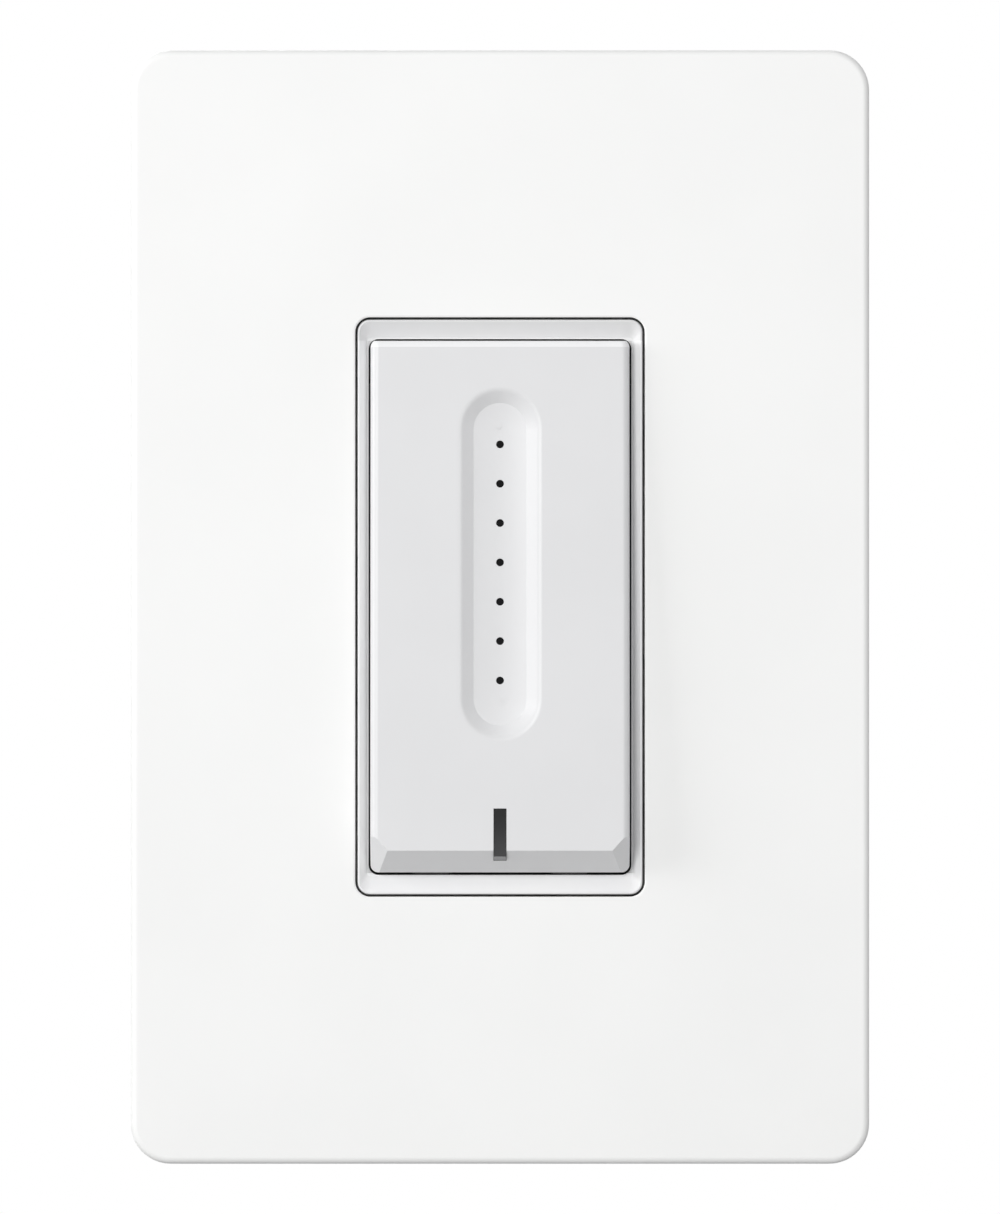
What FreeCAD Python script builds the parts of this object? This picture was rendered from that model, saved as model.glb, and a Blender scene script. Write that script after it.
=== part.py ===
import FreeCAD, Part
import math
import os
import re

import Sketcher

# A smart dimmer for a wall box. X runs to the right, Y into the wall and Z up, in millimetres.
# The wall's surface is Y = 0, and the origin is midway between the two box screws. A depth is a
# distance out of the wall, towards the room, so it is -Y. What the paddle carries is drawn level with
# the wall, and is then leaned back to its place at rest.

SIZES = [
    ("plate_width", 85.4, "wall plate, across"),
    ("plate_height", 128.8, "wall plate, up"),
    ("plate_depth", 8.2, "wall plate's face above the wall"),
    ("plate_wall", 1.8, "thickness of the wall plate"),
    ("plate_corner", 4.6, "corner radius of the wall plate"),
    ("plate_edge", 0.8, "rounding along the wall plate's face"),
    ("window_gap", 0.17, "clearance between wall plate and bezel"),
    ("window_edge", 0.3, "rounding of the wall plate's window"),
    ("hook_inset", 9.7, "hook's middle from the plate's side"),
    ("hook_level", 40.0, "hooks above and below the middle"),
    ("hook_length", 5.6, "hook, up"),
    ("hook_thick", 1.4, "hook's arm"),
    ("hook_barb", 0.7, "how far the barb stands out"),
    ("barb_depth", 0.9, "barb, along the arm"),
    ("hook_clearance", 0.15, "play between a hook and its slot"),
    ("hook_slack", 0.1, "play between a barb and the flange"),
    ("clip_inset", 2.9, "plate frame inside the wall plate's wall"),
    ("clip_thick", 1.6, "flange of the plate frame"),
    ("clip_rim", 1.2, "wall round the plate frame"),
    ("clip_corner", 3.0, "corner radius of the plate frame"),
    ("clip_window_gap", 0.7, "plate frame's window round the bezel"),
    ("clip_window_corner", 2.0, "corner radius of that window"),
    ("clip_screw_spacing", 96.8, "between the two plate frame screws"),
    ("box_screw_spacing", 83.3, "between the two box screws"),
    ("box_screw_opening", 10.0, "opening in the plate frame over a box screw"),
    ("strap_thick", 1.5, "mounting strap"),
    ("strap_margin", 1.2, "strap past the housing's sides"),
    ("strap_end_margin", 0.7, "strap past the housing's ends"),
    ("strap_corner", 1.5, "corner radius of the strap"),
    ("ear_width", 24.0, "strap's ear"),
    ("ear_reach", 52.4, "tip of the ear from the middle"),
    ("lobe_diameter", 12.4, "break-off plaster lobe"),
    ("lobe_across", 13.5, "lobe's middle from the middle"),
    ("lobe_level", 47.5, "lobe's middle above the middle"),
    ("lobe_bore", 4.6, "hole in the lobe"),
    ("slot_length", 6.5, "box screw slot, across"),
    ("slot_width", 4.0, "box screw slot, up"),
    ("strap_window_width", 26.0, "opening in the strap, across"),
    ("strap_window_height", 41.0, "opening in the strap, up"),
    ("fin_width", 21.0, "heat fin bent back from the strap"),
    ("fin_reach", 20.0, "fin behind the strap"),
    ("fin_bend", 0.4, "rounding inside the fin's bend"),
    ("tab_width", 9.0, "ground tab"),
    ("tab_inset", 5.7, "ground tab's middle from the strap's left side"),
    ("tab_reach", 9.0, "ground tab behind the strap"),
    ("ground_screw_behind", 4.9, "ground screw's axis behind the strap"),
    ("ground_head", 7.4, "ground screw's head across its corners"),
    ("ground_head_thick", 2.0, "ground screw's head"),
    ("ground_backed_off", 1.0, "wire space under the ground screw's head"),
    ("ground_screw_stand", 0.2, "ground screw past its tab"),
    ("box_stud", 3.5, "box screw's thread"),
    ("box_neck", 3.3, "box screw under its head"),
    ("box_head", 6.9, "box screw's head"),
    ("box_head_thick", 2.2, "box screw's head"),
    ("box_head_crown", 1.1, "bevel round the box screw's head"),
    ("box_reach", 23.9, "box screw's tip behind the wall"),
    ("washer_diameter", 8.0, "fibre washer"),
    ("washer_thick", 0.4, "fibre washer"),
    ("washer_play", 0.3, "fibre washer round the neck"),
    ("stud_start", 0.45, "box screw's thread behind the wall"),
    ("screw_tip", 0.4, "bevel at a screw's tip"),
    ("clip_screw", 3.5, "plate frame screw's thread"),
    ("clip_screw_head", 6.6, "plate frame screw's flat head"),
    ("clip_screw_reach", 4.0, "plate frame screw's tip behind the wall"),
    ("head_slot", 1.0, "driver slot"),
    ("head_slot_depth", 0.9, "driver slot"),
    ("thread_play", 0.1, "hole over a thread that it is cut for"),
    ("paddle_width", 29.9, "paddle, across"),
    ("paddle_height", 61.5, "paddle, up"),
    ("paddle_corner", 0.9, "corner radius of the paddle"),
    ("paddle_gap", 0.25, "gap round the paddle"),
    ("paddle_depth", 5.2, "paddle, from its back edge to its face"),
    ("paddle_lift", 0.9, "paddle's back edge over the board, as drawn"),
    ("paddle_front_wall", 2.0, "paddle's front"),
    ("paddle_side_wall", 1.2, "paddle's sides"),
    ("paddle_edge", 0.95, "rounding of the paddle's face"),
    ("bevel_height", 2.5, "bevel along the paddle's foot, up"),
    ("bevel_depth", 2.9, "bevel along the paddle's foot, back"),
    ("mitre_top", 2.0, "mitre of the bevel's end, at its top"),
    ("mitre_foot", 1.0, "mitre of the bevel's end, at its foot"),
    ("mitre_slope", 0.9, "mitre's fall for each millimetre across"),
    ("groove_width", 9.1, "touch groove at its mouth"),
    ("groove_length", 40.25, "touch groove, up"),
    ("groove_depth", 0.87, "touch groove's walls"),
    ("groove_floor", 6.1, "touch groove's floor, across"),
    ("groove_hollow", 0.19, "hollow of the groove's floor"),
    ("groove_level", 4.78, "groove's middle above the middle"),
    ("groove_edge", 1.2, "rounding of the groove's mouth"),
    ("light_pitch", 4.545, "between two level lights"),
    ("light_level", 5.0, "middle level light above the middle"),
    ("light_bore", 0.9, "level light's hole"),
    ("light_play", 0.04, "level light's pin in its hole"),
    ("light_sunk", 0.1, "level light's pin below the floor"),
    ("status_width", 1.5, "status window, across"),
    ("status_top", 23.4, "status window's upper end below the middle"),
    ("status_foot", 29.4, "status window's lower end below the middle"),
    ("status_play", 0.04, "play round the status lens"),
    ("status_sunk", 0.1, "status lens below the paddle's face"),
    ("status_tip", 0.5, "sloping lower end of the status lens"),
    ("status_flange", 3.0, "status lens's flange, across"),
    ("status_flange_thick", 0.8, "status lens's flange"),
    ("status_flange_past", 1.0, "status lens's flange above its window"),
    ("status_leg", 3.9, "status lens's leg behind the paddle's front"),
    ("pivot_level", 27.0, "paddle's pivot above the middle"),
    ("pivot_inset", 0.6, "pivot in front of the paddle's back edge"),
    ("pivot_pin", 2.4, "pivot pin"),
    ("pivot_play", 0.1, "pivot pin in its hole"),
    ("pivot_reach", 1.35, "pivot pin's length"),
    ("pivot_lug", 4.0, "lug under the pivot pin, up"),
    ("paddle_lean", 1.2, "paddle's lean in degrees when pressed, its foot outwards"),
    ("press_angle", 1.0, "paddle's travel in degrees"),
    ("keeper_across", 8.0, "paddle's keeper from the middle"),
    ("keeper_width", 4.0, "paddle's keeper, across"),
    ("keeper_thick", 0.5, "paddle's keeper"),
    ("keeper_reach", 0.85, "paddle's keeper past its foot"),
    ("keeper_play", 0.2, "play round the keeper"),
    ("keeper_stop_play", 0.03, "play between the keeper and its stop at rest"),
    ("presser_level", 16.5, "paddle's presser below the middle"),
    ("presser_diameter", 3.2, "paddle's presser"),
    ("presser_length", 2.5, "paddle's presser"),
    ("presser_play", 0.06, "between presser and plunger"),
    ("rail_across", 3.6, "touch board's rails from the middle"),
    ("rail_width", 1.2, "touch board's rails"),
    ("rail_height", 1.05, "touch board's rails"),
    ("stake_diameter", 1.2, "touch board's stakes"),
    ("stake_play", 0.2, "touch board's holes over the stakes"),
    ("stake_stand", 0.2, "stake behind the touch board"),
    ("stake_inset", 1.8, "stakes from the board's lower end and the connector"),
    ("guide_width", 3.0, "light guide's strip"),
    ("guide_thick", 0.6, "light guide's strip"),
    ("guide_margin", 1.6, "light guide past its outer pins"),
    ("touch_board_width", 9.0, "touch board"),
    ("touch_board_foot", 12.6, "touch board's lower end below the middle"),
    ("touch_board_top", 25.2, "touch board's upper end above the middle"),
    ("touch_board_thick", 0.6, "touch board"),
    ("chip_light_width", 0.8, "light chip, across"),
    ("chip_light_length", 1.6, "light chip, up"),
    ("chip_light_thick", 0.4, "light chip"),
    ("plug_width", 6.8, "ribbon connector, across"),
    ("plug_length", 3.2, "ribbon connector, up"),
    ("plug_thick", 1.0, "ribbon connector"),
    ("plug_wall", 0.8, "ribbon connector behind its slot"),
    ("plug_slot", 0.4, "ribbon connector's slot"),
    ("ribbon_width", 5.0, "ribbon"),
    ("ribbon_thick", 0.2, "ribbon"),
    ("ribbon_loop", 1.0, "ribbon past its connectors"),
    ("bezel_side", 1.3, "bezel's side"),
    ("bezel_end", 2.25, "bezel's top and foot"),
    ("bezel_height", 6.6, "bezel's face above the strap"),
    ("bezel_corner", 1.5, "bezel's outer corner radius"),
    ("bezel_edge", 0.25, "rounding of the bezel's outer edge"),
    ("bezel_land", 0.25, "flat round the bezel's face"),
    ("bezel_slope_width", 0.9, "slope inside the flat, at the sides"),
    ("bezel_end_slope", 1.85, "slope inside the flat, at the top and foot"),
    ("bezel_slope_depth", 0.8, "slope's fall"),
    ("floor_thick", 1.0, "bezel's floor"),
    ("header_window_width", 18.0, "opening in the floor, across"),
    ("header_window_height", 6.0, "opening in the floor, up"),
    ("boss_across", 10.5, "screw bosses from the middle"),
    ("boss_level", 26.0, "screw bosses above and below the middle"),
    ("boss_diameter", 4.6, "screw boss in the bezel"),
    ("boss_height", 3.1, "screw boss above the bezel's floor"),
    ("boss_play", 0.3, "board round a boss"),
    ("spring_across", 10.0, "springs from the middle"),
    ("spring_level", 12.0, "springs below the middle"),
    ("spring_diameter", 4.0, "spring, across the wire's middle"),
    ("spring_wire", 0.45, "spring's wire"),
    ("spring_pitch", 1.2, "spring's turns"),
    ("spring_play", 0.1, "spring under the paddle"),
    ("spring_room", 0.97, "board round a spring"),
    ("peg_diameter", 2.4, "spring peg"),
    ("peg_height", 2.0, "spring peg"),
    ("board_thick", 1.0, "control board"),
    ("board_side_gap", 0.35, "control board inside the bezel's sides"),
    ("board_end_gap", 0.65, "control board inside the bezel's ends"),
    ("switch_size", 6.0, "tact switch"),
    ("switch_height", 2.0, "tact switch"),
    ("switch_floor", 0.35, "tact switch's floor"),
    ("switch_lip", 0.4, "tact switch's lid"),
    ("plunger_diameter", 3.2, "plunger"),
    ("plunger_collar", 4.3, "plunger's collar"),
    ("plunger_collar_thick", 0.35, "plunger's collar"),
    ("plunger_play", 0.1, "plunger in its switch"),
    ("radio_width", 16.0, "radio module, across"),
    ("radio_height", 14.0, "radio module, up"),
    ("radio_thick", 0.6, "radio module's board"),
    ("radio_level", 13.5, "radio module above the middle"),
    ("shield_height", 1.5, "radio module's shield"),
    ("shield_inset", 1.6, "shield inside the radio module"),
    ("shield_corner", 0.8, "shield's corners"),
    ("status_led_level", 26.0, "status light below the middle"),
    ("header_level", 3.0, "board link below the middle"),
    ("header_pitch", 2.54, "board link's pins"),
    ("header_pin", 0.64, "board link's pins"),
    ("header_pin_play", 0.2, "boards round the board link's pins"),
    ("header_body_width", 2.5, "board link's body, up"),
    ("header_body_length", 8.0, "board link's body, front to back"),
    ("header_stand", 0.4, "pins past the boards"),
    ("housing_width", 42.0, "rear housing, across"),
    ("housing_height", 66.6, "rear housing, up"),
    ("housing_reach", 31.5, "rear housing behind the wall"),
    ("housing_wall", 1.6, "rear housing's sides"),
    ("housing_back", 1.8, "rear housing's back"),
    ("housing_corner", 2.5, "rear housing's corners"),
    ("housing_edge", 1.2, "rounding of the rear housing's back"),
    ("post_diameter", 7.0, "screw post in the rear housing"),
    ("housing_screw", 2.8, "housing screw's thread"),
    ("housing_screw_head", 5.0, "housing screw's head"),
    ("housing_screw_head_thick", 2.0, "housing screw's head"),
    ("housing_screw_start", 12.0, "housing screw's seat behind the wall"),
    ("housing_screw_reach", 4.5, "housing screw's tip in front of the wall"),
    ("housing_screw_play", 0.4, "holes round the housing screws"),
    ("housing_screw_tip_room", 0.5, "boss's hole past the screw's tip"),
    ("panel_width", 27.0, "bare recess on the back, across"),
    ("panel_height", 20.0, "bare recess on the back, up"),
    ("panel_sunk", 0.3, "bare recess on the back"),
    ("gauge_length", 12.0, "wire strip gauge on the back"),
    ("gauge_width", 1.4, "wire strip gauge on the back"),
    ("gauge_depth", 0.6, "wire strip gauge on the back"),
    ("gauge_level", 17.0, "wire strip gauge below the middle"),
    ("power_board_behind", 26.0, "power board's front behind the wall"),
    ("power_board_thick", 1.6, "power board"),
    ("power_board_gap", 0.4, "power board inside the housing"),
    ("post_play", 0.5, "power board round a post"),
    ("stand_diameter", 4.0, "power board's stands"),
    ("stand_across", 15.0, "power board's stands from the middle"),
    ("stand_level", 22.0, "power board's stands above and below"),
    ("terminal_level", 10.0, "terminals above and below the middle"),
    ("terminal_behind", 18.0, "terminal screws behind the wall"),
    ("pocket_size", 12.0, "terminal pocket, square"),
    ("pocket_depth", 6.0, "terminal pocket from the housing's side"),
    ("pocket_wall", 1.4, "terminal pocket's walls"),
    ("terminal_plate", 9.0, "terminal plate, square"),
    ("terminal_thick", 1.2, "terminal plate and its tail"),
    ("tail_behind", 21.0, "terminal plate's tail behind the wall"),
    ("tail_width", 2.4, "terminal plate's tail, up"),
    ("tail_play", 0.25, "openings round the tail"),
    ("tail_leg_gap", 0.2, "tail's leg inside the pocket's wall"),
    ("clamp_size", 8.0, "wire clamp, square"),
    ("clamp_thick", 1.2, "wire clamp"),
    ("wire_space", 1.8, "between clamp and terminal plate"),
    ("terminal_head", 7.4, "terminal screw's head"),
    ("terminal_head_thick", 1.8, "terminal screw's head"),
    ("terminal_screw", 4.1, "terminal screw's thread"),
    ("terminal_screw_play", 0.25, "clearance holes round the terminal screws"),
    ("terminal_tip", 2.0, "terminal screw behind the pocket's floor"),
    ("transistor_width", 10.0, "transistor"),
    ("transistor_length", 9.2, "transistor's body"),
    ("transistor_thick", 4.3, "transistor's body"),
    ("transistor_tab", 1.3, "transistor's tab"),
    ("transistor_tab_length", 6.4, "transistor's tab"),
    ("transistor_across", 5.2, "transistors from the middle"),
    ("transistor_behind", 1.6, "transistor's tab behind the wall"),
    ("transistor_hole_behind", 3.4, "hole from the tab's end"),
    ("transistor_leg", 0.8, "transistor's legs"),
    ("transistor_leg_pitch", 2.54, "transistor's legs"),
    ("transistor_leg_drop", 2.4, "transistor's legs below its tab's face"),
    ("leg_stand", 0.4, "legs behind the power board"),
    ("leg_play", 0.2, "power board round the legs"),
    ("parts_gap", 0.8, "tall parts inside the terminals' legs"),
    ("transistor_screw", 3.0, "transistor's screw"),
    ("transistor_screw_head", 5.6, "transistor's screw's head"),
    ("transistor_screw_head_thick", 2.0, "transistor's screw's head"),
    ("transistor_screw_stand", 0.8, "transistor's screw past the fin"),
    ("pad_thick", 0.2, "insulating pad"),
    ("pad_margin", 0.6, "insulating pad past the transistors"),
    ("capacitor_diameter", 8.0, "bulk capacitor"),
    ("capacitor_length", 16.0, "bulk capacitor"),
    ("capacitor_level", 8.0, "bulk capacitor above the middle"),
    ("capacitor_bead", 0.4, "bead round the bulk capacitor"),
    ("capacitor_bead_rise", 2.2, "bead above the bulk capacitor's foot"),
    ("film_width", 13.0, "film capacitor"),
    ("film_thick", 6.0, "film capacitor, up"),
    ("film_length", 12.0, "film capacitor"),
    ("film_level", 24.5, "film capacitor below the middle"),
    ("film_edge", 0.6, "film capacitor's edges"),
    ("choke_diameter", 10.0, "filter choke"),
    ("choke_bore", 4.4, "filter choke"),
    ("choke_height", 8.0, "filter choke"),
    ("choke_level", 12.2, "filter choke below the middle"),
    ("choke_edge", 1.2, "filter choke's edges"),
    ("transformer_width", 10.0, "supply transformer, across and up"),
    ("transformer_height", 11.0, "supply transformer"),
    ("transformer_flange", 1.0, "supply transformer's bobbin flanges"),
    ("transformer_winding", 8.0, "supply transformer's winding"),
    ("transformer_core", 4.0, "supply transformer's core, up"),
    ("transformer_level", 8.0, "supply transformer above the middle"),
    ("disc_diameter", 8.0, "varistor"),
    ("disc_thick", 4.0, "varistor"),
    ("disc_lift", 1.0, "varistor over the power board"),
    ("disc_level", 8.2, "varistor below the middle"),
    ("disc_leg", 0.8, "varistor's legs"),
    ("disc_leg_pitch", 5.0, "varistor's legs"),
    ("fuse_diameter", 3.2, "fuse"),
    ("fuse_cap", 3.6, "fuse's end caps"),
    ("fuse_cap_length", 2.0, "fuse's end caps"),
    ("fuse_length", 10.0, "fuse"),
    ("fuse_level", 19.1, "fuse below the middle"),
]

doc = FreeCAD.newDocument("smart_dimmer")
sheet = doc.addObject("Spreadsheet::Sheet", "sizes")
for row, (name, size, note) in enumerate(SIZES, start=1):
    sheet.set(f"A{row}", name)
    sheet.set(f"B{row}", str(size))
    sheet.set(f"C{row}", note)
    sheet.setAlias(f"B{row}", name)
doc.recompute()

SIZE_NAMES = {name for name, size, note in SIZES}
SMALL = 1e-4
LIGHTS = 7
HEADER_PINS = 6


def formula(text):
    """The same sum, with the name of each size pointing at its cell in the sheet."""
    def cell(word):
        return f"sizes.{word[0]}" if word[0] in SIZE_NAMES else word[0]
    return re.sub(r"[a-z_]+", cell, str(text))


def value(text):
    """What a sum of sizes comes to."""
    return float(sheet.evalExpression(formula(text)))


# Shapes that a drawing can hold. Each takes sums of sizes, about a centre where it has one.

def rounded(wide, tall, corner, at=("0", "0")):
    return lambda drawing: drawing.rounded(at, wide, tall, corner)


def box(wide, tall, at=("0", "0")):
    across, up = at
    left, right = f"({across}) - ({wide}) / 2", f"({across}) + ({wide}) / 2"
    low, high = f"({up}) - ({tall}) / 2", f"({up}) + ({tall}) / 2"
    return outline((left, low), (right, low), (right, high), (left, high))


def span(left, right, low, high):
    return outline((left, low), (right, low), (right, high), (left, high))


def disc(diameter, at=("0", "0")):
    return lambda drawing: drawing.disc(at, f"({diameter}) / 2")


def stadium(length, breadth, upright, at=("0", "0")):
    return lambda drawing: drawing.stadium(at, length, breadth, upright)


def outline(*corners):
    return lambda drawing: drawing.outline(corners)


def both_sides(across, up):
    return [(across, up), (f"-({across})", up)]


def four_places(across, up):
    return both_sides(across, up) + both_sides(across, f"-({up})")


class Drawing:
    """A sketch on a plane of its own body: front (across, up), side (depth, up) or top (across, depth)."""

    PLANES = {"front": "XZ_Plane", "side": "YZ_Plane", "top": "XY_Plane"}

    def __init__(self, piece, plane, offset):
        self.plane = plane
        self.sketch = piece.body.newObject("Sketcher::SketchObject", f"{piece.body.Name}_{plane}_drawing")
        origin = piece.body.Origin.OriginFeatures
        support = [feature for feature in origin if feature.Role == self.PLANES[plane]][0]
        self.sketch.AttachmentSupport = (support, [""])
        self.sketch.MapMode = "FlatFace"
        self.sketch.setExpression("AttachmentOffset.Base.z", formula(offset))

    def local(self, point):
        """A point in the sketch's own directions, where depth counts backwards."""
        first, second = point
        if self.plane == "side":
            return f"-({first})", second
        if self.plane == "top":
            return first, f"-({second})"
        return first, second

    def bind(self, text, kind, *where):
        index = self.sketch.addConstraint(Sketcher.Constraint(kind, *where, value(text)))
        self.sketch.setExpression(f"Constraints[{index}]", formula(text))

    def relate(self, kind, *where):
        self.sketch.addConstraint(Sketcher.Constraint(kind, *where))

    def pin(self, geometry, end, point):
        for kind, text in zip(("DistanceX", "DistanceY"), self.local(point)):
            self.bind(text, kind, geometry, end)

    def vector(self, point):
        return FreeCAD.Vector(*(value(text) for text in self.local(point)), 0)

    def line(self, start, end, helping=False):
        return self.sketch.addGeometry(Part.LineSegment(start, end), helping)

    def arc(self, centre, radius, turn, sweep):
        """An arc that starts at a turn from the first direction, in degrees."""
        circle = Part.Circle(centre, FreeCAD.Vector(0, 0, 1), radius)
        arc = Part.ArcOfCircle(circle, math.radians(turn), math.radians(turn + sweep))
        return self.sketch.addGeometry(arc, False)

    def disc(self, at, radius):
        circle = Part.Circle(self.vector(at), FreeCAD.Vector(0, 0, 1), value(radius))
        index = self.sketch.addGeometry(circle, False)
        self.pin(index, 3, at)
        self.bind(radius, "Radius", index)

    def outline(self, corners):
        points = [self.vector(corner) for corner in corners]
        sides = [self.line(start, end) for start, end in zip(points, points[1:] + points[:1])]
        for side, following, corner in zip(sides, sides[1:] + sides[:1], corners):
            self.relate("Coincident", side, 2, following, 1)
            self.pin(side, 1, corner)

    def rounded(self, at, wide, tall, corner):
        across, up = self.local(at)
        middle = self.vector(at)
        bend = value(corner)
        half = FreeCAD.Vector(value(wide) / 2 - bend, value(tall) / 2 - bend, 0)
        signs = [(1, -1), (1, 1), (-1, 1), (-1, -1)]
        centres = [middle + FreeCAD.Vector(half.x * sx, half.y * sy, 0) for sx, sy in signs]
        arcs = [self.arc(centre, bend, turn, 90) for centre, turn in zip(centres, (-90, 0, 90, 180))]
        ends = [(self.sketch.Geometry[arc].StartPoint, self.sketch.Geometry[arc].EndPoint) for arc in arcs]
        lines = [self.line(ends[i][1], ends[(i + 1) % 4][0]) for i in range(4)]
        for i, (arc, side) in enumerate(zip(arcs, lines)):
            self.relate("Tangent", arc, 2, side, 1)
            self.relate("Tangent", side, 2, arcs[(i + 1) % 4], 1)
            self.relate("Horizontal" if i % 2 else "Vertical", side)
        self.bind(corner, "Radius", arcs[0])
        for arc in arcs[1:]:
            self.relate("Equal", arcs[0], arc)
        right, top, left, foot = lines
        self.bind(f"{across} + ({wide}) / 2", "DistanceX", right, 1)
        self.bind(f"{across} - ({wide}) / 2", "DistanceX", left, 1)
        self.bind(f"{up} + ({tall}) / 2", "DistanceY", top, 1)
        self.bind(f"{up} - ({tall}) / 2", "DistanceY", foot, 1)

    def stadium(self, at, length, breadth, upright):
        across, up = self.local(at)
        middle = self.vector(at)
        radius = value(breadth) / 2
        reach = value(length) / 2 - radius
        along = FreeCAD.Vector(0, reach, 0) if upright else FreeCAD.Vector(reach, 0, 0)
        turns = (0, 180) if upright else (-90, 90)
        arcs = [self.arc(middle + along * sign, radius, turn, 180) for sign, turn in zip((1, -1), turns)]
        ends = [(self.sketch.Geometry[arc].StartPoint, self.sketch.Geometry[arc].EndPoint) for arc in arcs]
        for i in range(2):
            side = self.line(ends[i][1], ends[1 - i][0])
            self.relate("Tangent", arcs[i], 2, side, 1)
            self.relate("Tangent", side, 2, arcs[1 - i], 1)
            self.relate("Vertical" if upright else "Horizontal", side)
        self.bind(f"({breadth}) / 2", "Radius", arcs[0])
        lengthwise, crosswise = ("DistanceY", "DistanceX") if upright else ("DistanceX", "DistanceY")
        start, level = (up, across) if upright else (across, up)
        for arc, sign in zip(arcs, ("+", "-")):
            self.bind(f"{start} {sign} (({length}) - ({breadth})) / 2", lengthwise, arc, 3)
        self.bind(level, crosswise, arcs[0], 3)

    def hollow(self, deepest, *corners):
        """Straight lines through the corners, closed by the arc of the groove's hollow floor."""
        radius = "(groove_floor ^ 2 / 4 + groove_hollow ^ 2) / (2 * groove_hollow)"
        bend = value(radius)
        outward = self.vector(("1", "0") if self.plane == "side" else ("0", "1"))
        points = [self.vector(corner) for corner in corners]
        circle = Part.Circle(self.vector(deepest) + outward * bend, FreeCAD.Vector(0, 0, 1), bend)
        turns = sorted(circle.parameter(point) for point in (points[0], points[-1]))
        if turns[1] - turns[0] > math.pi:
            turns = [turns[1], turns[0] + 2 * math.pi]
        arc = self.sketch.addGeometry(Part.ArcOfCircle(circle, *turns), False)
        first = 1 if self.sketch.Geometry[arc].StartPoint.distanceToPoint(points[0]) < SMALL else 2
        lines = [self.line(start, end) for start, end in zip(points, points[1:])]
        for line, following in zip(lines, lines[1:]):
            self.relate("Coincident", line, 2, following, 1)
        self.relate("Coincident", arc, first, lines[0], 1)
        self.relate("Coincident", arc, 3 - first, lines[-1], 2)
        for line, corner in zip(lines, corners):
            self.pin(line, 1, corner)
        self.pin(lines[-1], 2, corners[-1])
        self.bind(radius, "Radius", arc)


class Piece:
    """A body of the document and the features that build it, each bound to the sheet of sizes."""

    made = []

    def __init__(self, name, solids=1):
        self.body = doc.addObject("PartDesign::Body", name)
        self.body.Label = name
        self.solids = solids
        Piece.made.append(self)

    def feature(self, kind, profile=None):
        feature = self.body.newObject(f"PartDesign::{kind}", f"{self.body.Name}_{kind.lower()}")
        if profile:
            feature.Profile = profile.sketch
        return feature

    def volume(self):
        return self.body.Shape.Volume if self.body.Shape.Solids else 0.0

    def settle(self, feature, growing):
        """Rebuilds the body, and stops if the feature has added or taken nothing."""
        before = self.volume()
        doc.recompute()
        change = self.volume() - before
        if "Invalid" in feature.State or (change > SMALL) != growing or abs(change) < SMALL:
            raise RuntimeError(f"{feature.Label} of {self.body.Label} changed the volume by {change}")

    def draw(self, plane, offset, shapes):
        drawing = Drawing(self, plane, offset)
        for shape in shapes:
            shape(drawing)
        return drawing

    def add(self, plane, start, end, *shapes):
        """Fills the shapes from start to end: depths for front, places across for side, levels for top."""
        pad = self.feature("Pad", self.draw(plane, start, shapes))
        pad.setExpression("Length", formula(f"({end}) - ({start})"))
        self.settle(pad, growing=True)

    def cut(self, plane, start, end, *shapes):
        """Clears the shapes from start to end."""
        pocket = self.feature("Pocket", self.draw(plane, end, shapes))
        pocket.setExpression("Length", formula(f"({end}) - ({start})"))
        self.settle(pocket, growing=False)

    def cut_between(self, plane, end, mouth, start, foot):
        """Clears a straight-walled hollow that changes from one shape to another."""
        loft = self.feature("SubtractiveLoft", self.draw(plane, end, [mouth]))
        loft.Sections = [self.draw(plane, start, [foot]).sketch]
        loft.Ruled = True
        self.settle(loft, growing=False)

    def turned(self, at, *profile, cut=False):
        """Turns a profile of (radius, depth) points about an axis that points out of the wall."""
        across, up = at
        section = outline(*((depth, f"({up}) + ({radius})") for radius, depth in profile))
        drawing = self.draw("side", across, [section])
        self.revolve(drawing, [(f"({depth})", up) for depth in (profile[0][1], profile[-1][1])], cut)

    def revolve(self, drawing, axis, cut=False):
        ends = [drawing.vector(point) for point in axis]
        centre_line = drawing.line(ends[0], ends[1], helping=True)
        for end, point in zip((1, 2), axis):
            drawing.pin(centre_line, end, point)
        turning = self.feature("Groove" if cut else "Revolution", drawing)
        turning.ReferenceAxis = (drawing.sketch, ["Axis0"])
        turning.Angle = 360
        self.settle(turning, growing=not cut)

    def round_off(self, radius, wanted):
        """Rounds the edges that are wanted."""
        base = self.body.Tip
        names = [f"Edge{i}" for i, edge in enumerate(base.Shape.Edges, start=1) if wanted(edge)]
        fillet = self.feature("Fillet")
        fillet.Base = (base, names)
        fillet.setExpression("Radius", formula(radius))
        doc.recompute()
        if not names or "Invalid" in fillet.State:
            raise RuntimeError(f"{fillet.Label} of {self.body.Label} could not round {names}")


def flat_at(depth, inside=None):
    """Edges at one depth, and inside a rectangle about the middle if one is given."""
    def wanted(edge):
        bounds = edge.BoundBox
        level = max(abs(bounds.YMin + value(depth)), abs(bounds.YMax + value(depth))) < SMALL
        if not inside:
            return level
        wide, tall = (value(size) / 2 + SMALL for size in inside)
        return level and max(-bounds.XMin, bounds.XMax) < wide and max(-bounds.ZMin, bounds.ZMax) < tall
    return wanted


# Places that several pieces share, each a sum of the sizes.

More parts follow.
